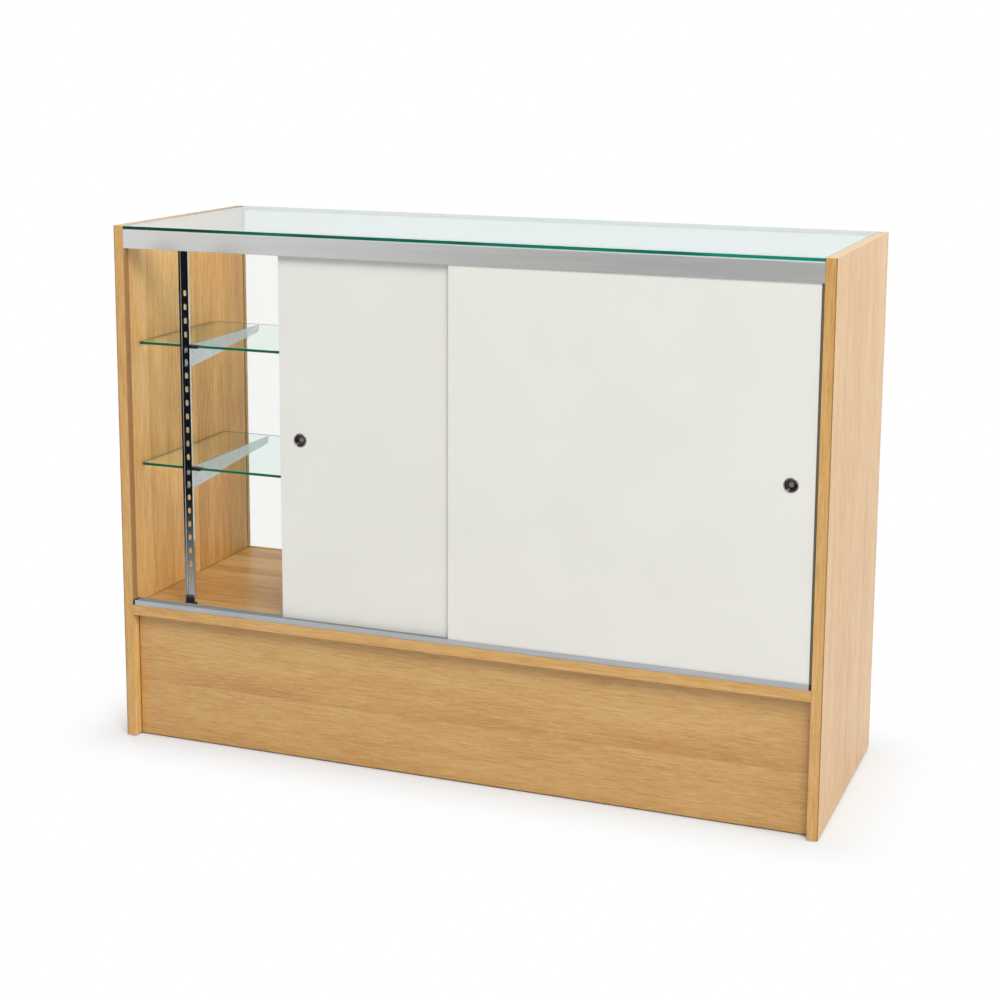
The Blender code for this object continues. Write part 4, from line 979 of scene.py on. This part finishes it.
# %% [markdown]
# ## Softened edges
#
# Rolled, pressed and moulded pieces have no knife edges: every corner is rounded by a fraction of a
# millimetre, and that thin round is what catches the light. The CAD solids already have the right shapes,
# so a copy of each is merged into one skin, its flat faces are joined up, and a small bevel rounds its
# corners.

# %% Rounded copies of CAD pieces
RAIL_LIP = 1.3 * MM
CHANNEL_ROUND = 0.35 * MM
RUBBER_ROUND = 0.5 * MM
SMALL_ROUND = 0.3 * MM
NEARLY_FLAT = math.radians(1.0)


def skin_of(node):
    """A copy of a CAD node as one clean skin."""
    piece = bpy.data.objects.new(f"{node}_rounded", nodes[node].data.copy())
    scene.collection.objects.link(piece)
    bpy.ops.object.select_all(action='DESELECT')
    bpy.context.view_layer.objects.active = piece
    piece.select_set(True)
    bpy.ops.object.mode_set(mode='EDIT')
    bpy.ops.mesh.select_all(action='SELECT')
    bpy.ops.mesh.remove_doubles(threshold=TOUCH)
    bpy.ops.mesh.dissolve_limited(angle_limit=NEARLY_FLAT)
    bpy.ops.object.mode_set(mode='OBJECT')
    return piece


def round_corners(piece, radius):
    """Round every sharp corner of a piece."""
    rounding = piece.modifiers.new("rounding", 'BEVEL')
    rounding.width = radius
    rounding.segments = 3
    rounding.limit_method = 'ANGLE'
    rounding.angle_limit = SHARP_CORNER
    bpy.ops.object.modifier_apply(modifier=rounding.name)
    smooth_over(piece)


rail = skin_of("top_rail")
low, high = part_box("top_rail")
start_editing(rail, "edges", lambda points: same(points, 1, low.y) and same(points, 2, high.z))
bpy.ops.mesh.bevel(offset=RAIL_LIP, segments=3, affect='EDGES')
bpy.ops.object.mode_set(mode='OBJECT')
round_corners(rail, CHANNEL_ROUND)
stand_in(rail, "top_rail", "aluminium", satin)

rounded = [("bottom_track", "aluminium", cool_satin, CHANNEL_ROUND)]
for side in SIDES:
    rounded += [(f"{side}_standard_foot", "rubber", rubber, RUBBER_ROUND),
                (f"{side}_track_bumper", "rubber", rubber, RUBBER_ROUND)]
    for level in LEVELS:
        rounded += [(f"{level}_{side}_bracket", "bright_zinc", dull_zinc, SMALL_ROUND),
                    (f"{level}_{side}_shelf_clip", "rubber", rubber, SMALL_ROUND)]
for node, slot, material, radius in rounded:
    piece = skin_of(node)
    round_corners(piece, radius)
    stand_in(piece, node, slot, material)
    print(piece.name, len(piece.data.polygons), "faces")

# %% [markdown]
# ## The clear cap on the front glass
#
# An extruded strip of clear vinyl sits over the upper edge of the front glass, so that glass never lies on
# glass. It is milky where it is thick, so it is only partly see-through, and the die has left faint lines
# along it.

# %% Clear vinyl
DIE_LINE = 2 * MM
CAP_STRETCH = (0.05, 1.0, 1.0)

vinyl, tree, shader = new_material("extruded clear vinyl", IOR=1.53, Transmission_Weight=0.7)
place = add_node(tree, "TexCoord")
drawn = add_node(tree, "Mapping", {"Vector": place.outputs["Object"], "Scale": CAP_STRETCH})
milk = add_node(tree, "TexNoise", {"Vector": drawn.outputs[0], "Scale": 1 / DIE_LINE, "Detail": 1.0})
hue = add_node(tree, "ValToRGB", {0: milk.outputs["Fac"]})
hue.color_ramp.elements[0].color = linear("#dfe6e2")
hue.color_ramp.elements[1].color = linear("#f0f4f1")
tree.links.new(hue.outputs["Color"], shader.inputs["Base Color"])
dull = add_node(tree, "MapRange", {0: milk.outputs["Fac"], 1: 0.3, 2: 0.7, 3: 0.18, 4: 0.32})
tree.links.new(dull.outputs[0], shader.inputs["Roughness"])
dress(vinyl, "front_glass_gasket")
print("vinyl on the gasket")
